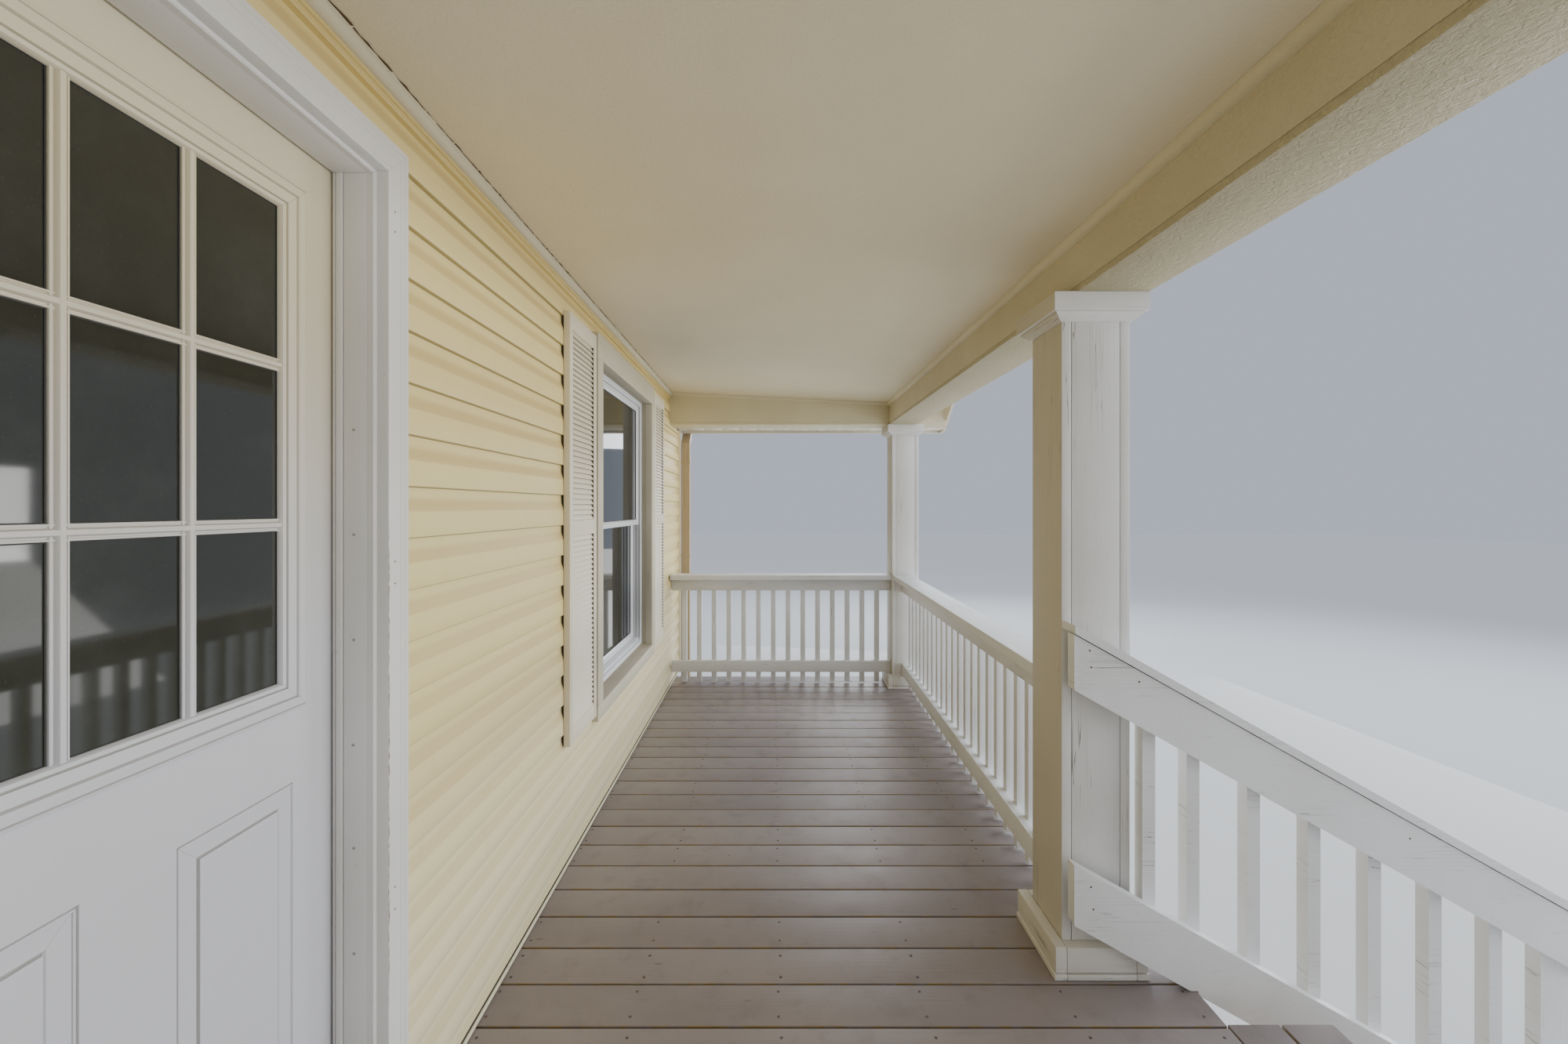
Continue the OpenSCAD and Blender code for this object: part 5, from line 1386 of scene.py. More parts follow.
glass_ior = 1.52
coated_spacer = mottled("spacer bar", 120, "8d8f90", "a5a7a8", 0.4, metal=0.8)
panes = Shape(66)
for y in (glass_face[-1], glass_face[1] - pane_t):
    panes.board((glass_low.x, y, glass_low.z), (glass_high.x, y + pane_t, glass_high.z), ease=0)
spacer = Shape(67)
gaskets = Shape(68)
bar_in, bar_d, bottom, top = 0.001, 0.006, glass_low.z, glass_high.z
left, right = glass_low.x + bar_in + bar_d, glass_high.x - bar_in - bar_d
for x0, x1, z0, z1 in (
        (left - bar_d, left, bottom, top), (right, right + bar_d, bottom, top),
        (left, right, bottom, bottom + bar_d), (left, right, top - bar_d, top)):
    spacer.board((x0, glass_face[-1] + pane_t, z0), (x1, glass_face[1] - pane_t, z1), ease=0)
light_w = (light_high.x - light_low.x) / 3
light_h = (light_high.z - light_low.z) / 3
gasket_line = [(-0.0018, 0.0001), (-0.0018, 0.0012), (-0.0002, 0.0016), (-0.0002, 0.0001)]
for y, out in ((glass_face[-1], -1), (glass_face[1], 1)):
    for column in range(3):
        for row in range(3):
            x0 = light_low.x + column * light_w + (bar_half if column else 0)
            x1 = light_low.x + (column + 1) * light_w - (bar_half if column < 2 else 0)
            z0 = light_low.z + row * light_h + (bar_half if row else 0)
            z1 = light_low.z + (row + 1) * light_h - (bar_half if row < 2 else 0)
            gaskets.moulding(upright(x0, x1, y, z0, z1, out), gasket_line, (0, out, 0))
rubber = mottled("dark gasket", 150, "23221f", "3a3833", 0.6)
door_glass = joined("door_glazing", [
    panes.skin("panes", material("door glass", dark_glass("2d2e28", "474944"), IOR=glass_ior)),
    spacer.skin("spacer", coated_spacer), gaskets.skin("gaskets", rubber)])
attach(door_glass, "door")
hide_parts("door_glass")


# Window frame. A white vinyl frame stands deep in the wall behind a lining of boards, whose
# dark grey beige is painted shade; the timber sill in front of it slopes out and its paint
# is a dark beige.
lining_low, lining_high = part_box("window_frame")
lining_t, frame_bar, frame_foot, frame_d = 0.012, 0.025, 0.059, 0.08
opening = (lining_low.x + lining_t, lining_high.x - lining_t, lining_low.z + lining_t,
           lining_high.z - lining_t)
frame_back = lining_high.y
frame_y = frame_back - frame_d
# Painted shade: the lining's dark grey beige stands for the shade deep in the window's recess.
shaded_lining_paint = material("window lining paint", weathered("aaa38e", "8f8772", 0.5, 0.6, 0.8))
sill_paint = material("sill paint", weathered("a0937e", "85775f", 0.5, 0.6, 0.9))


def paint_vinyl(nodes):
    spot = nodes.place()
    broad = nodes.noise(spot, 4, 3)
    grime = nodes.noise(spot, 60, 4, 0.7).between(0.6, 0.8)
    look = nodes.mix(broad, rgb("e2e3e5"), rgb("d8d9da"))
    look = nodes.mix(grime * 0.3, look, rgb("9c978e"))
    return {"Base Color": look, "Roughness": broad * 0.1 + 0.3}


white_vinyl = material("white window vinyl", paint_vinyl)
lining = Shape(71)
x0, x1, z0, z1 = opening
for low, high in (((x0 - lining_t, lining_low.y, z0), (x0, frame_back, z1)),
                  ((x1, lining_low.y, z0), (x1 + lining_t, frame_back, z1))):
    lining.board(low, high, along=2, ease=0.001)
for z in (z0 - lining_t, z1):
    lining.board((x0 - lining_t, lining_low.y, z), (x1 + lining_t, frame_back, z + lining_t),
                 ease=0.001)
sill_board = Shape(72)
sill_board.prism([(window_low.y + 0.001, z0 - 0.001), (window_low.y + 0.001, z0 + 0.001),
                  (window_low.y + 0.003, z0 + 0.0025), (frame_y, z0 + 0.017),
                  (frame_y, z0 - 0.001)], 0, x0, x1)
vinyl = Shape(73)
inner = (x0 + frame_bar, x1 - frame_bar, z0 + frame_foot, z1 - frame_bar)
frame_face = [(0, -frame_d), (0, -0.047), (0.004, -0.0465), (0.004, -0.0435), (0, -0.043),
              (0, -0.0335), (0.004, -0.033), (0.004, -0.03), (0, -0.0295), (0, -0.0135),
              (0.004, -0.013), (0.004, -0.0105), (0, -0.01), (0, -0.004), (0.0015, -0.0025),
              (0.006, -0.0025), (0.0075, 0), (0.0125, 0), (0.0127, -0.003), (0.0147, -0.003),
              (0.0149, 0), (0.0235, 0), (frame_bar, -0.0015), (frame_bar, -frame_d)]
vinyl.moulding([(inner[1], frame_y, z0), (inner[1], frame_y, inner[3]),
                (inner[0], frame_y, inner[3]), (inner[0], frame_y, z0)], frame_face,
               (0, -1, 0), closed=False)
foot = [(0, 0), (0, 0.036), (0.002, 0.038), (0.0105, 0.04), (0.0105, 0.033), (0.0138, 0.033),
        (0.0138, 0.049), (0.016, 0.051), (0.041, 0.0565), (0.041, 0.049), (0.0446, 0.049),
        (0.0446, frame_foot), (frame_d, frame_foot), (frame_d, 0)]
vinyl.prism([(frame_y + a, z0 + b) for a, b in foot], 0, inner[0], inner[1])
pile = Shape(77)
for depth in (0.0105, 0.0300):
    pile.moulding([(inner[1], frame_y, inner[2]), (inner[1], frame_y, inner[3]),
                   (inner[0], frame_y, inner[3]), (inner[0], frame_y, inner[2])],
                  [(0.0005, -depth - 0.0028), (0.0035, -depth - 0.0028), (0.0035, -depth - 0.0002),
                   (0.0005, -depth - 0.0002)], (0, -1, 0), closed=False)
window_frame = joined("window_frame_and_lining", [
    lining.skin("lining", shaded_lining_paint), sill_board.skin("sill", sill_paint),
    vinyl.skin("vinyl", white_vinyl), pile.skin("pile", rubber)])
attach(window_frame, "porch")
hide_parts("window_frame")

# Window casing. Flat timber boards, butted at the corners and nailed on around the lining.
# Their paint is beige.
boards = Shape(74)
for a, b in ((window_low.x, x0), (x1, window_high.x)):
    boards.board((a, window_low.y, z0 + 0.0008), (b, window_high.y, z1 - 0.0008), along=2,
                 ease=0.0025)
boards.board((window_low.x, window_low.y, z1), (window_high.x, window_high.y, window_high.z),
             ease=0.003)
boards.board((window_low.x, window_low.y, window_low.z), (window_high.x, window_high.y, z0),
             ease=0.003)
beige_paint = material("window casing paint", weathered("cdc5ae", "b5ab92", 0.5, 0.6, 0.6))
boards = boards.done("window_casing_boards", beige_paint)
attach(boards, "porch")
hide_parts("window_casing")

# Sashes. Welded white vinyl with a dark seal around the glass. The upper one slides outside
# the lower one, their rails meet halfway up, and two locks sit on the lower one's top.
sash_bar, sash_d, sash_lap = 0.032, 0.03, 0.016
meeting_z = (inner[2] + inner[3]) / 2
sash_face = [(0, -0.012), (0, -0.0095), (0.004, -0.0055), (0.0078, -0.0012), (0.0095, 0),
             (0.0185, 0), (0.0187, -0.0028), (0.0205, -0.0028), (0.0207, 0),
             (0.031, 0), (sash_bar, -0.001), (sash_bar, -0.029), (0.031, -sash_d),
             (0.0095, -sash_d), (0.004, -0.0245), (0, -0.0185)]
sash_seal = [(-0.0022, -0.0119), (-0.0022, -0.0105), (-0.0001, -0.0099), (-0.0001, -0.0119)]
sashes = Shape(75)
seals = Shape(76)
outer_y, inner_y = frame_y + 0.014, frame_y + 0.048
for y, bottom, top in ((outer_y, meeting_z - sash_lap, inner[3]),
                       (inner_y, inner[2], meeting_z + sash_lap)):
    corners = upright(inner[0] + sash_bar, inner[1] - sash_bar, y, bottom + sash_bar,
                      top - sash_bar)
    sashes.moulding(corners, sash_face, (0, -1, 0))
    seals.moulding(corners, sash_seal, (0, -1, 0))
for x in (x0 + 0.28, x1 - 0.28):
    sashes.board((x - 0.03, inner_y + 0.002, meeting_z + sash_lap - 0.001),
                 (x + 0.03, inner_y + 0.026, meeting_z + sash_lap + 0.012), ease=0.003)
sashes = joined("window_sash_frames", [sashes.skin("sashes", white_vinyl),
                                       seals.skin("seals", rubber)])
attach(sashes, "porch")
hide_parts("window_sashes")

finish("window_glass", material("window glass", dark_glass("1b2022", "3c4446"), IOR=glass_ior))


# Shutters. Moulded in one piece each, with louvres between two stiles and three rails, and
# held flat to the siding by painted screws.
def paint_shutter(nodes):
    spot = nodes.place()
    broad = nodes.noise(spot, 3, 4)
    wood = nodes.noise(nodes.stretch(spot, (60, 60, 4)), 3, 4, 0.6)
    grime = nodes.noise(spot, 30, 4, 0.7).between(0.58, 0.8)
    look = nodes.mix(broad, rgb("e9e1cb"), rgb("ddd3ba"))
    look = nodes.mix(grime * 0.3, look, rgb("a3977f"))
    return {"Base Color": look, "Roughness": wood * 0.12 + 0.45,
            "Normal": bump(nodes, wood, 0.0003)}


def paint_louvre(nodes):
    """Painted shade gathers under each louvre's lip, where the outline starts, and at its top."""
    made = paint_shutter(nodes)
    v = nodes.parts(nodes.grain())[1]
    # The grime mask here is painted shade in the crevices between the louvres.
    grime = (1 - v.between(0.0145, 0.0175)) + v.between(0.0375, 0.0408)
    made["Base Color"] = nodes.mix(grime.clamp() * 0.6, made["Base Color"], rgb("5c5547"))
    return made


shutter_paint = material("painted shutter", paint_shutter)
louvre_paint = material("painted louvre", paint_louvre)
low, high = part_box("shutters")
shutter_w, stile_w, rail_h, louvre_pitch = 0.348, 0.036, 0.062, 0.021
mid_z = (low.z + high.z) / 2
parts = []
for number, x in enumerate((low.x, high.x - shutter_w)):
    body = Shape(80 + number)
    for x0 in (x, x + shutter_w - stile_w):
        body.board((x0, low.y, low.z), (x0 + stile_w, high.y, high.z), along=2, ease=0.003)
    for z in (low.z, mid_z - rail_h / 2, high.z - rail_h):
        body.board((x + stile_w - 0.002, low.y + 0.0012, z),
                   (x + shutter_w - stile_w + 0.002, high.y, z + rail_h), ease=0.002)
    body.board((x + stile_w - 0.002, high.y - 0.006, low.z + 0.01),
               (x + shutter_w - stile_w + 0.002, high.y, high.z - 0.01), ease=0)
    parts.append(body.skin("body", shutter_paint))
    # Painted shade: dark strips where the louvres meet the stiles, and behind the stiles reaching
    # into the siding's hollows.
    gaps = Shape(85)
    for at in (x + stile_w - 0.001, x + shutter_w - stile_w - 0.0008):
        gaps.board((at, low.y + 0.004, low.z + rail_h),
                   (at + 0.0018, high.y - 0.0055, high.z - rail_h), along=2, ease=0)
    for at in (x + 0.005, x + shutter_w - 0.017):
        gaps.board((at, high.y - 0.0004, low.z + 0.004),
                   (at + 0.012, high.y + 0.0096, high.z - 0.004), along=2, ease=0)
    parts.append(gaps.skin("gaps", gap_shade))
    for z0, z1 in ((low.z + rail_h, mid_z - rail_h / 2), (mid_z + rail_h / 2, high.z - rail_h)):
        count = round((z1 - z0) / louvre_pitch)
        step = (z1 - z0) / count
        blade = Shape()
        blade.prism([(high.y - 0.005, 0.0005), (low.y + 0.0045, 0.0005), (low.y + 0.003, 0.0012),
                     (low.y + 0.003, 0.0028), (low.y + 0.0135, step + 0.0002),
                     (high.y - 0.005, step + 0.0002)], 0, x + stile_w + 0.0012,
                    x + shutter_w - stile_w - 0.0012)
        parts.append(repeated(blade, count, (0, 0, z0), (0, 0, step), louvre_paint,
                              shift=(0, 0.0004, 0.0002), seed=number))
screw_paint = material("painted screw", lambda nodes: {
    "Base Color": nodes.mix(nodes.noise(nodes.place(), 200).between(0.4, 0.7),
                            rgb("e5dfd2"), rgb("9b8a70")), "Roughness": 0.45})
screws = Shape(83)
for x in (low.x, high.x - shutter_w):
    for side in (stile_w / 2, shutter_w - stile_w / 2):
        for z in (low.z + 0.035, mid_z, high.z - 0.035):
            dome(screws, x + side, low.y + 0.0003, z, 0.0048, 0.0022)
screws.mesh.transform(Matrix.Translation((0, 0.002, 0)))
parts.append(screws.skin("screws", screw_paint))
shutters = joined("louvred_shutters", parts)
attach(shutters, "porch")
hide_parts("shutters")


# Soffits. Grooved white panels close the eaves from below, level along the two ends and
# sloping under the rakes.
def paint_coil(nodes):
    spot = nodes.place()
    broad = nodes.noise(spot, 2.5, 4)
    grime = nodes.noise(spot, 25, 5, 0.7).between(0.55, 0.85)
    look = nodes.mix(broad, rgb("dbd5c2"), rgb("ccc4ae"))
    look = nodes.mix(grime * 0.35, look, rgb("a59c8b"))
    return {"Base Color": look, "Roughness": broad * 0.15 + 0.4,
            "Normal": bump(nodes, broad, 0.002, 0.3)}


coil_white = material("white coated metal", paint_coil)
eave_x, fascia_t, fascia_h = 2.958, 0.02, 0.14
pitch = math.radians(35)
fascia_low, fascia_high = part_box("fascia_boards")
eave_z = fascia_low.z + fascia_h
rake_y = fascia_low.y
wall_back = fascia_high.y
beam_out_x, beam_out_y = 2.614, local(-1.9075)
soffit_t, return_x, groove = 0.01, 2.73, 0.152


def roof_z(x):
    """Underside of the roof boards."""
    return eave_z + (eave_x - abs(x)) * math.tan(pitch)


def grooved(width):
    """Cross-section of one soffit panel with half a groove at each side."""
    return [(0, soffit_t), (0, 0.004), (0.004, 0), (width * 0.47, 0), (width * 0.5, 0.003),
            (width * 0.53, 0), (width - 0.004, 0), (width, 0.004), (width, soffit_t)]


parts = []
for side in (-1, 1):
    for x0, x1, y0, y1 in ((beam_out_x, eave_x - fascia_t, beam_out_y, local(0)),
                           (return_x, eave_x - fascia_t, rake_y + fascia_t, beam_out_y),
                           (wall_half + siding_t, eave_x - fascia_t, local(0.0005), wall_back)):
        count = max(1, round((y1 - y0) / groove))
        width = (y1 - y0) / count
        panel = Shape()
        panel.prism([(a, soffit_z + b) for a, b in grooved(width)], 0, side * x0, side * x1)
        parts.append(repeated(panel, count, (0, y0, 0), (0, width, 0), coil_white, seed=side + 5))
    slope = (return_x - 0.002) / math.cos(pitch)
    count = round(slope / groove)
    width = slope / count
    up = Vector((-side * math.cos(pitch), 0, math.sin(pitch)))
    normal = Vector((side * math.sin(pitch), 0, math.cos(pitch)))
    panel = Shape()
    panel.leg([[up * a + normal * (b - soffit_t) + Vector((0, y, 0)) for a, b in grooved(width)]
               for y in (rake_y + fascia_t, beam_out_y - siding_t)])
    parts.append(repeated(panel, count, (side * (return_x - 0.001), 0, roof_z(return_x - 0.001)),
                          tuple(up * width), coil_white, seed=side + 9))
soffits = joined("soffit_panels", parts)
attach(soffits, "porch")
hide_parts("soffits")

# Fascias and rake boards. Timber wrapped in bent white metal, nailed to the rafters along the
# eaves and up both rakes, where a small drip edge stands out.
rake_rise = 0.184 / math.cos(pitch)
cut_x = eave_x - (rake_rise - fascia_h) / math.tan(pitch)
boards = Shape(91)
for side in (-1, 1):
    inner, outer = sorted((side * (eave_x - fascia_t), side * eave_x))
    boards.board((inner, rake_y + fascia_t + 0.001, fascia_low.z), (outer, wall_back, eave_z),
                 along=1, ease=0.0015)
    outline = [(0.0005, roof_z(0) - rake_rise), (cut_x, fascia_low.z), (eave_x, fascia_low.z),
               (eave_x, eave_z), (0.0005, roof_z(0))]
    boards.prism(rounded([(side * a, b) for a, b in outline], 0.0015), 1, rake_y + 0.0005,
                 rake_y + fascia_t)
    lip = [(0.0005, roof_z(0) - 0.035), (eave_x - 0.02, eave_z - 0.02), (eave_x, eave_z - 0.02),
           (eave_x, eave_z), (0.0005, roof_z(0))]
    boards.prism([(side * a, b) for a, b in lip], 1, rake_y - 0.004, rake_y + 0.001)
boards = boards.done("fascia_and_rake_boards", coil_white)
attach(boards, "porch")
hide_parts("fascia_boards")

# Boxed eave ends. Each front corner of the eaves is closed by a board to the street and one
# to the gable, in the same bent white metal.
ends = Shape(92)
end_z = soffit_z + soffit_t
for side in (-1, 1):
    x1 = eave_x - fascia_t
    ends.prism([(side * return_x, end_z), (side * x1, end_z), (side * x1, roof_z(x1)),
                (side * return_x, roof_z(return_x))], 1, rake_y + fascia_t + 0.0002,
               rake_y + 2 * fascia_t)
    ends.prism([(side * return_x, end_z), (side * (return_x + 0.01), end_z),
                (side * (return_x + 0.01), roof_z(return_x + 0.01)),
                (side * return_x, roof_z(return_x))], 1, rake_y + 2 * fascia_t + 0.0002,
               beam_out_y - siding_t)
ends = ends.done("boxed_eave_ends", coil_white)
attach(ends, "porch")
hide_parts("eave_ends")

# Gable. A framed timber wall on the front beam closes the roof, and the same vinyl courses
# as on the house are nailed to it.
finish("gable_wall", plain_timber)
wing_x = return_x + 0.01
beam_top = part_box("front_beam")[1].z


def gable_edge(z):
    """Half the gable's width at a level."""
    return min(wing_x, eave_x - (z - eave_z) / math.tan(pitch))


gable = Shape(93)
lay_courses(gable, beam_out_y - siding_t, beam_top - 3 * course_h, end_z, roof_z(0) - 0.02,
            lambda z: -gable_edge(z), gable_edge, [(-beam_out_x, beam_out_x, 0, beam_top)])
gable = gable.done("gable_siding_courses", siding_yellow, smooth=40)
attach(gable, "porch")
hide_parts("gable_siding")


# Roof. Three-tab asphalt shingles on boards, nailed in rows that lap each other by half,
# with the slots of one row over the tabs of the row below.
def paint_shingle(nodes):
    spot, tone = nodes.place(), nodes.tone()
    grit = nodes.noise(spot, 420, 2, 0.7)
    grains = nodes.cells(spot, 520, 1)
    blot = nodes.noise(nodes.stretch(spot, (1, 1, 1), tone), 16, 4, 0.7)
    streak = nodes.noise(nodes.stretch(spot, (0.5, 5, 0.5)), 1.5, 4, 0.6)
    look = nodes.mix(tone, rgb("4c463f"), rgb("69625a"))
    look = nodes.mix(blot.between(0.4, 0.7) * 0.5, look, rgb("37322d"))
    look = nodes.mix(streak.between(0.55, 0.75) * 0.35, look, rgb("2b2825"))
    look = nodes.mix(0.35, look, grains, "OVERLAY")
    return {"Base Color": look, "Roughness": 0.95, "Normal": bump(nodes, grit, 0.0012)}


shingle = material("asphalt shingle", paint_shingle)
low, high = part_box("roof_right")
slope_len = high.x / math.cos(pitch)
rows = 26
row_step = slope_len / rows
roof_depth = high.y - low.y
tab_w = roof_depth / 8
deck_of_roof = 0.018
tab_len, tab_wedge = 0.28, 0.0065
for side, name in ((-1, "roof_left"), (1, "roof_right")):
    up = Vector((-side * math.cos(pitch), 0, math.sin(pitch)))
    normal = Vector((side * math.sin(pitch), 0, math.cos(pitch)))
    edge = Vector((side * high.x, 0, roof_z(high.x) + 0.0003))
    base = Shape(94)
    ridge_cut = [(0, 0), (0, deck_of_roof), (slope_len + deck_of_roof * math.tan(pitch),
                                             deck_of_roof), (slope_len, 0)]
    base.leg([[edge + up * s + normal * n + Vector((0, y, 0)) for s, n in ridge_cut]
              for y in (low.y + 0.001, high.y)])
    parts = [base.skin("roof boards", plain_timber)]
    for row in range(rows):
        length = min(tab_len, slope_len - row * row_step + 0.012)
        fall = tab_wedge * length / tab_len
        wedge = [(0, 0.0185), (0, 0.0268), (0.0015, 0.0275), (length, 0.0275 - fall),
                 (length, 0.0185)]
        odd = row % 2
        for width, count, first, pace in (
                (tab_w, 8 - odd, low.y + odd * tab_w / 2, tab_w),
                (tab_w / 2, 2 * odd, low.y, roof_depth - tab_w / 2)):
            if not count:
                continue
            tab = Shape()
            tab.leg([[up * s + normal * n + Vector((0, y, 0)) for s, n in wedge]
                     for y in (0.002, width - 0.002)])
            start = edge + up * (row * row_step) + Vector((0, first, 0))
            parts.append(repeated(tab, count, tuple(start), (0, pace, 0), shingle,
                                  shift=(0, 0.0008, 0.0005),
                                  seed=row * 2 + (side > 0) * 100))
    drip_edge = Shape(95)
    flange = [(-0.0012, -0.002), (-0.0012, deck_of_roof + 0.0006), (0.05, deck_of_roof + 0.0006),
              (0.05, deck_of_roof), (0, deck_of_roof), (0, -0.002)]
    drip_edge.leg([[edge + up * (s + 0.0012) + normal * n + Vector((0, y, 0))
                    for s, n in flange] for y in (low.y + 0.001, high.y)])
    parts.append(drip_edge.skin("drip edge", coil_white))
    slope_piece = joined(name + "_shingles", parts)
    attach(slope_piece, "porch")
    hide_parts(name)

# Ridge cap. Asphalt shingles, folded over the ridge and nailed so that each laps the one
# before it.
cap_half = 0.14 * math.cos(pitch)
ridge_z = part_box("ridge_cap")[1].z
cap = Shape(96)
caps = 16
cap_step = (roof_depth - 0.15) / caps
rings = []
for y, lift in ((0, 0), (0.002, 0.0006), (cap_step + 0.14, -0.0075)):
    ring = []
    for x in (-cap_half, -0.012, 0, 0.012, cap_half):
        ring.append(Vector((x, y, lift - max(0, abs(x) - 0.006) * math.tan(pitch) - 0.001)))
    for x in (cap_half, 0.012, 0, -0.012, -cap_half):
        ring.append(Vector((x, y, lift - abs(x) * math.tan(pitch) - 0.006)))
    rings.append(ring)
cap.leg(rings)
caps_mesh = repeated(cap, caps, (0, low.y, ridge_z), (0, cap_step, 0), shingle, seed=4)
ridge = joined("ridge_shingles", [caps_mesh])
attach(ridge, "porch")
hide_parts("ridge_cap")


# Gutters. Troughs of bent white aluminium with a moulded front and end caps, held to the
# fascias by hidden straps.
def thick_line(points, t):
    """Closed outline of a bent sheet: the line and, t to its left, the line back."""
    points = [Vector(p) for p in points]
    ways = [(b - a).normalized() for a, b in zip(points, points[1:])]
    offset = []
    for i, point in enumerate(points):
        before, after = ways[max(i - 1, 0)], ways[min(i, len(ways) - 1)]
        left = Vector((-before.y - after.y, before.x + after.x))
        left /= left.dot(Vector((-after.y, after.x)))
        offset.append(point + left * t)
    return [tuple(p) for p in points] + [tuple(p) for p in reversed(offset)]


low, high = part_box("gutters")
gutter_h, gutter_t = 0.105, 0.0018
near, far = eave_x + 0.0005, high.x
front_curve = ((0.0306, 0), (0.0306, 0.3), (0.022, 0.4), (0.008, 0.5), (0.002, 0.6), (0, 0.7))
trough = [(near, high.z), (near, low.z)] + [
    (far - a, low.z + b * gutter_h) for a, b in front_curve] + [
    (far, high.z), (far - 0.012, high.z), (far - 0.012, high.z - 0.006)]
gutters = Shape(97)
for side in (-1, 1):
    outline = [(side * a, b) for a, b in thick_line(trough, gutter_t)]
    gutters.prism(outline, 1, low.y + 0.001, high.y - 0.001)
    for y in (low.y, high.y - 0.0015):
        gutters.prism([(side * a, b) for a, b in trough[:9]], 1, y, y + 0.0015)
gutter_mesh = gutters.skin("gutters", coil_white)
straps = []
for side in (-1, 1):
    strap = Shape()
    inner, outer = sorted((side * (near + 0.002), side * (far - 0.013)))
    strap.board((inner, -0.012, high.z - 0.008), (outer, 0.012, high.z - 0.006), ease=0.0005)
    straps.append(repeated(strap, 5, (0, low.y + 0.2, 0), (0, 0.48, 0), coil_white, seed=3))
gutters = joined("gutter_troughs", [gutter_mesh] + straps)
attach(gutters, "porch")
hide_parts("gutters")


# Downspouts. Ribbed pipes of tan coated aluminium, which lead down from the gutters and are
# strapped to the ends of the house wall.
def paint_spout(nodes):
    spot = nodes.place()
    broad = nodes.noise(spot, 3, 4)
    grime = nodes.noise(nodes.stretch(spot, (8, 8, 1)), 4, 5, 0.7).between(0.5, 0.8)
    look = nodes.mix(broad, rgb("baa88c"), rgb("ae9a7c"))
    look = nodes.mix(grime * 0.35, look, rgb("7c6648"))
    return {"Base Color": look, "Roughness": broad * 0.15 + 0.38,
            "Normal": bump(nodes, grime, 0.0006, 0.4)}


spout_paint = material("tan coated metal", paint_spout)
low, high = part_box("downspouts")
spout_w, spout_d = 0.05, high.y - low.y
mid_y = (low.y + high.y) / 2
ribs = []
for k in range(9):
    b = -spout_d / 2 + 0.006 + k * (spout_d - 0.012) / 8
    ribs.append((spout_w / 2 - (0.0028 if k % 2 else 0), b))
end_ribs = [(a, spout_d / 2 - (0.0 if k % 2 else 0.0022)) for k, a in
            enumerate((0.019, 0.011, 0.004, -0.004, -0.011, -0.019))]
tube = ribs + end_ribs + [(-a, -b) for a, b in ribs] + [(-a, -b) for a, b in end_ribs]
gutter_x, wall_x = 2.9687 + spout_w / 2, 2.885 + spout_w / 2
bends = [(gutter_x, 2.5985), (gutter_x, 2.5485), (wall_x, 2.4648), (wall_x, 0.1),
         (wall_x + 0.062, 0.028)]
strap_levels = (0.45, 1.5, 2.3)
spouts = Shape(98)
for side in (-1, 1):
    path = [(side * a, mid_y, b) for a, b in bends]
    spouts.moulding(path, tube, (0, -1, 0), closed=False)
    for z in strap_levels:
        inner, outer = sorted((side * (wall_x - 0.0265), side * (wall_x + 0.0262)))
        spouts.board((inner, low.y - 0.001, z), (outer, high.y + 0.012, z + 0.025), along=1,
                     ease=0.001)
spouts = spouts.done("ribbed_downspouts", spout_paint)
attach(spouts, "porch")
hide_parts("downspouts")


# Railings. Two rail boards on edge under a flat cap, with square balusters nailed to their
# outer side. The front railing turns a little towards the middle post.
rail_t, rail_board_h, cap_w, railing_h = 0.038, 0.089, 0.142, 0.866
low_rail_z, baluster_pitch, rail_out, middle_step = 0.098, 0.12, 0.074, 0.055
rail_paint = material("railing paint", weathered("f0f1f3", "d6d4d0", 0.7, 0.8, 0.7, 0.42, 0.3))


def railing(place, length, seed):
    """Meshes of a railing that starts at place and runs along its X."""
    boards = Shape(seed)
    board_top = railing_h - rail_t
    boards.board((0, -rail_t, board_top - rail_board_h), (length, 0, board_top - 0.0005),
                 ease=0.0035, turn=place)
    boards.board((0, -rail_t, low_rail_z), (length, 0, low_rail_z + rail_board_h), ease=0.0035,
                 turn=place)
    boards.board((0, -2 * rail_t - 0.002, board_top), (length, cap_w - 2 * rail_t - 0.002,
                 railing_h), ease=0.005, turn=place, cuts=3)
    count = round(length / baluster_pitch)
    gap = (length - count * rail_t) / (count + 1)
    flat = place.to_3x3().to_4x4()
    baluster = Shape()
    baluster.board((-rail_t / 2, -2 * rail_t, 0.012), (rail_t / 2, -rail_t, board_top - 0.0005),
                   along=2, ease=0.0025, turn=flat)
    first = place @ Vector((gap + rail_t / 2, 0, 0))
    step = flat @ Vector((gap + rail_t, 0, 0))
    nails = Shape()
    for z in (0.142, board_top - 0.03, board_top - 0.06):
        dome(nails, 0.003, -2 * rail_t + 0.0005, z, 0.003, 0.001)
    bmesh.ops.transform(nails.mesh, matrix=flat, verts=nails.mesh.verts)
    return [boards.skin("boards", rail_paint),
            repeated(baluster, count, tuple(first), tuple(step), rail_paint,
                     shift=(0.002, 0, 0), tilt=(0, 0.002, 0), seed=seed),
            repeated(nails, count, tuple(first), tuple(step), screw_paint,
                     shift=(0.004, 0, 0.006), seed=seed + 1)]


rail_x0, rail_x1 = middle_x + half, corner_x - half
turn = math.atan(middle_step / (rail_x1 - rail_x0))
place = (Matrix.Translation((rail_x0, local(-middle_d - rail_out), deck_z))
         @ Matrix.Rotation(-turn, 4, "Z"))
front = joined("front_rail_boards", railing(place, (rail_x1 - rail_x0) / math.cos(turn), 101))
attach(front, "porch")
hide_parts("front_railing")

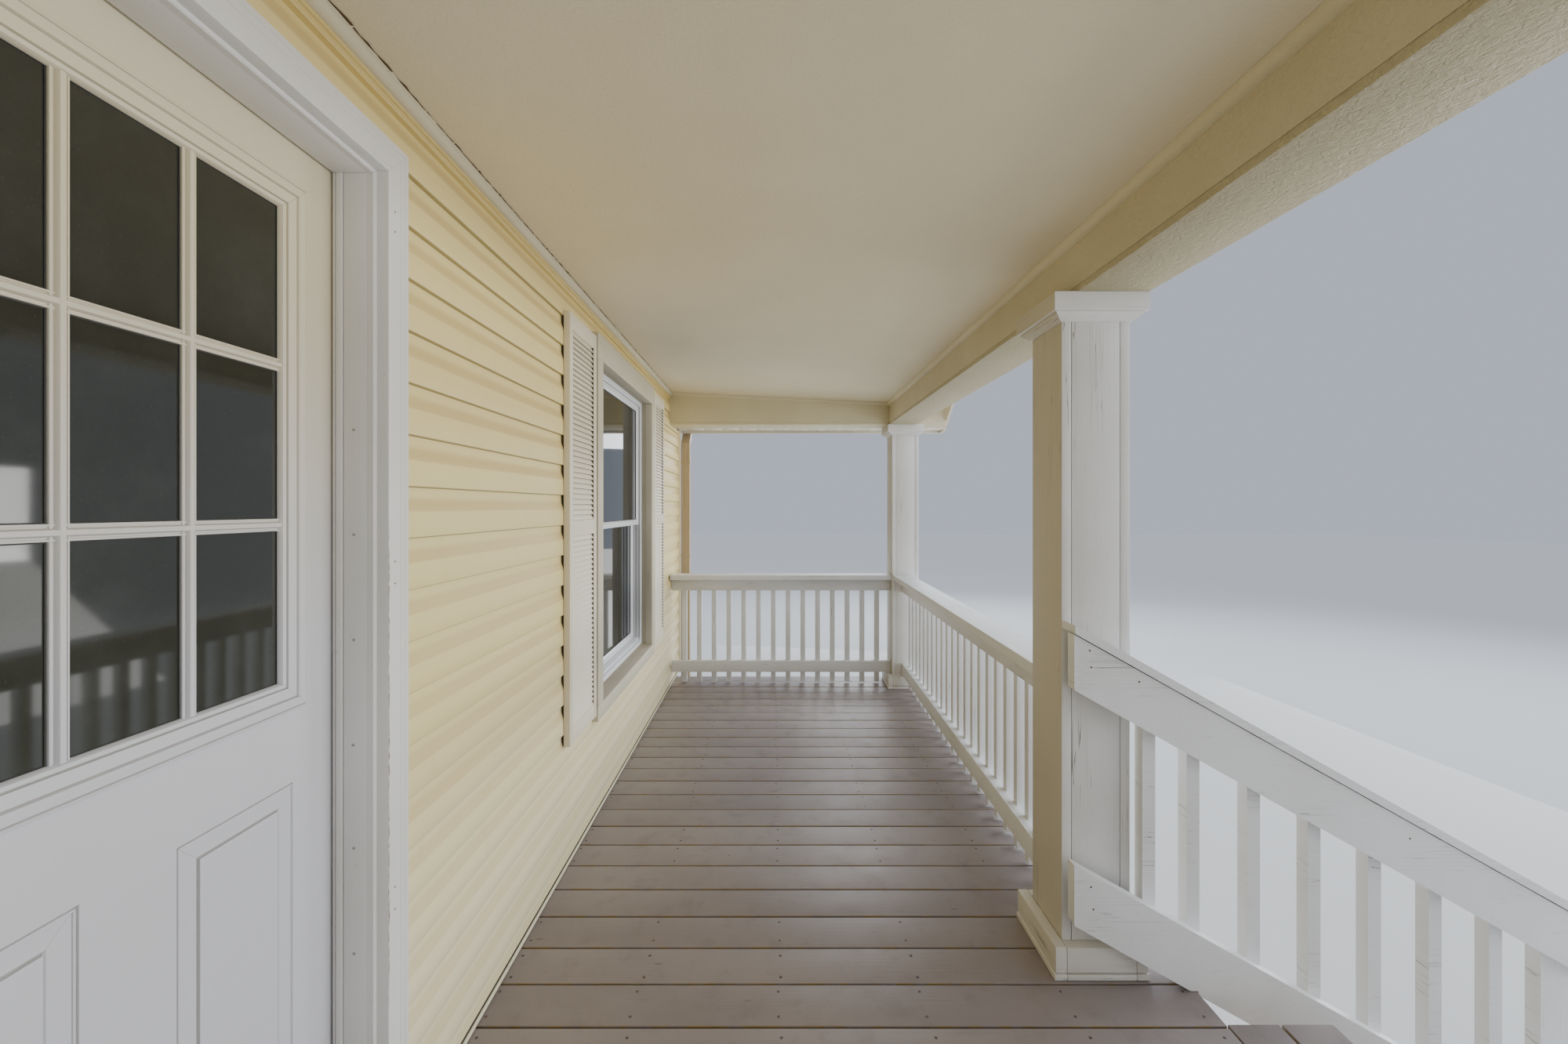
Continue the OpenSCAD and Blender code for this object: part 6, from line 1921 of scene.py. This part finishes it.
meshes = []
for side in (-1, 1):
    place = (Matrix.Translation((side * (corner_x - half + rail_out), local(-porch_d), deck_z))
             @ Matrix.Diagonal((side, 1, 1, 1)) @ Matrix.Rotation(math.pi / 2, 4, "Z"))
    meshes += railing(place, porch_d, 103 + side)
ends = joined("end_rail_boards", meshes)
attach(ends, "porch")
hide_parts("end_railings")

# Stair rails and newels. A broad board on edge under a thin cap follows the stairs from the
# post, with a second board below it and balusters nailed outside, cut to the slope. Each
# newel is a flat board that stands on the ground.
stair_angle = math.radians(29.3)
rail_slope, slant = math.tan(stair_angle), 1 / math.cos(stair_angle)
middle_in = local(-middle_d)
rail_x = middle_x - half - 2 * rail_t - stair_x
low_y, slope_end = local(-3.0985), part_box("stair_rails")[0].y
cap_top, cap_rise, low_board_top = 1.056, 0.025 * slant, 0.363
board_high = cap_top - cap_rise
high_board_h, low_board_h = 0.14 * slant, 0.152 * slant
newel_w, baluster_step = 0.089, 0.178
deck_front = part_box("deck_floor")[0].y


def slope_z(z, y):
    """Level of a line that passes the middle post's inner face at z above the deck."""
    return deck_z + z + (y - middle_in) * rail_slope


def across(side, near, far):
    """Low and high x of what lies from near to far of the stairs' middle."""
    return sorted((stair_x + side * near, stair_x + side * far))


def sloped(shape, edges, top, rise, ease):
    """Board from the post to the newel, rise high."""
    post_z, newel_z = slope_z(top, middle_in), slope_z(top, slope_end)
    outline = [(middle_in, post_z), (slope_end, newel_z), (slope_end, newel_z - rise),
               (middle_in, post_z - rise)]
    shape.prism(rounded(outline, ease), 0, *edges)


stair_rails = Shape(111)
newels = Shape(112)
rail_nails = Shape(113)
newel_y = local(-3.143)
for side in (-1, 1):
    board_edges = across(side, rail_x, rail_x + rail_t)
    cap_edges = across(side, rail_x - 0.006, rail_x + 2 * rail_t)
    sloped(stair_rails, cap_edges, cap_top, cap_rise - 0.0028, 0.004)
    sloped(stair_rails, board_edges, board_high, high_board_h, 0.003)
    spot_x = stair_x + side * rail_x
    for y, z in ((-1.7085, 0.981), (-1.713, 0.933), (-1.8506, 0.891), (-2.63, 0.44), (-1.712, 0.3),
                 (-1.719, 0.236)):
        rail_nails.prism(circle(0.003, 8, local(y), deck_z + z), 0, spot_x - side * 0.0003,
                         spot_x + side * 0.001)
    under = low_board_top - low_board_h
    rest_z = deck_z + 0.001
    at_rest = middle_in + (rest_z - deck_z - under) / rail_slope
    at_ground = middle_in - (deck_z + under) / rail_slope
    stair_rails.prism(rounded([
        (middle_in, slope_z(low_board_top, middle_in)), (low_y, slope_z(low_board_top, low_y)),
        (low_y, 0), (at_ground, 0), (deck_front - 0.001, slope_z(under, deck_front - 0.001)),
        (deck_front - 0.001, rest_z), (at_rest, rest_z), (middle_in, slope_z(under, middle_in))],
        0.003), 0, *board_edges)
    first_y = local(-1.869 - 0.144)
    edges = across(side, rail_x + rail_t, rail_x + 2 * rail_t)
    feet = [(local(-1.869 - 0.014), deck_z + 0.097), (first_y, deck_z + 0.001)]
    feet += [(first_y - k * baluster_step, 0) for k in range(1, 6)]
    for y, foot in feet:
        stair_rails.prism(rounded([
            (y, slope_z(board_high, y)), (y - rail_t, slope_z(board_high, y - rail_t)),
            (y - rail_t, max(foot, slope_z(under - 0.012, y - rail_t))),
            (y, max(foot, slope_z(under - 0.012, y)))], 0.002), 0, *edges)
    newel_in = newel_y + newel_w
    newels.prism(rounded([
        (newel_y, 0), (newel_in, 0), (newel_in, slope_z(board_high, newel_in)),
        (newel_y, slope_z(board_high, newel_y))], 0.003), 0, edges[0] + 0.0002 * (side < 0),
        edges[1])
stair_rails = joined("stair_rail_boards", [stair_rails.skin("boards", rail_paint),
                                           rail_nails.skin("nails", rusty)])
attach(stair_rails, "porch")
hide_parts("stair_rails")
newels = newels.done("newel_boards", rail_paint)
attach(newels, "porch")
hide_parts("newels")


# Hinges and knobs. Brass plated steel, dull and a little stained. The butt hinges are
# screwed to the leaf and the jamb, and a turned round knob sits on each face of the leaf.
def paint_brass(nodes):
    spot = nodes.place()
    stain = nodes.noise(spot, 70, 4, 0.65)
    look = nodes.mix(stain.between(0.4, 0.7), rgb("b8975a"), rgb("8a6a38"))
    return {"Base Color": look, "Metallic": 1 - stain.between(0.62, 0.75) * 0.5,
            "Roughness": stain * 0.3 + 0.15}


brass = material("dull brass", paint_brass)
for node in ("door_hinges", "door_hinge_leaves"):
    finish(node, brass)

low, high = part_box("door_knobs")
leaf_low, leaf_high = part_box("door_leaf")
knob_x, knob_z = (low.x + high.x) / 2, (low.z + high.z) / 2
turned = [(0.001, 0), (0.033, 0), (0.033, 0.0035), (0.0315, 0.006), (0.027, 0.0082),
          (0.019, 0.0095), (0.0135, 0.0125), (0.012, 0.018), (0.012, 0.025), (0.0145, 0.0295),
          (0.0205, 0.0335), (0.0252, 0.0385), (0.027, 0.0445), (0.0262, 0.0505),
          (0.0225, 0.0565), (0.016, 0.0603), (0.008, 0.0618), (0.001, 0.062)]
knobs = Shape(121)
for y, out in ((leaf_low.y, -1), (leaf_high.y, 1)):
    knobs.leg([[Vector((a, y + out * n, b)) for a, b in circle(r, 32, knob_x, knob_z)]
               for r, n in turned])
knobs = knobs.done("round_door_knobs", brass, smooth=50)
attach(knobs, "door")
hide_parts("door_knobs")
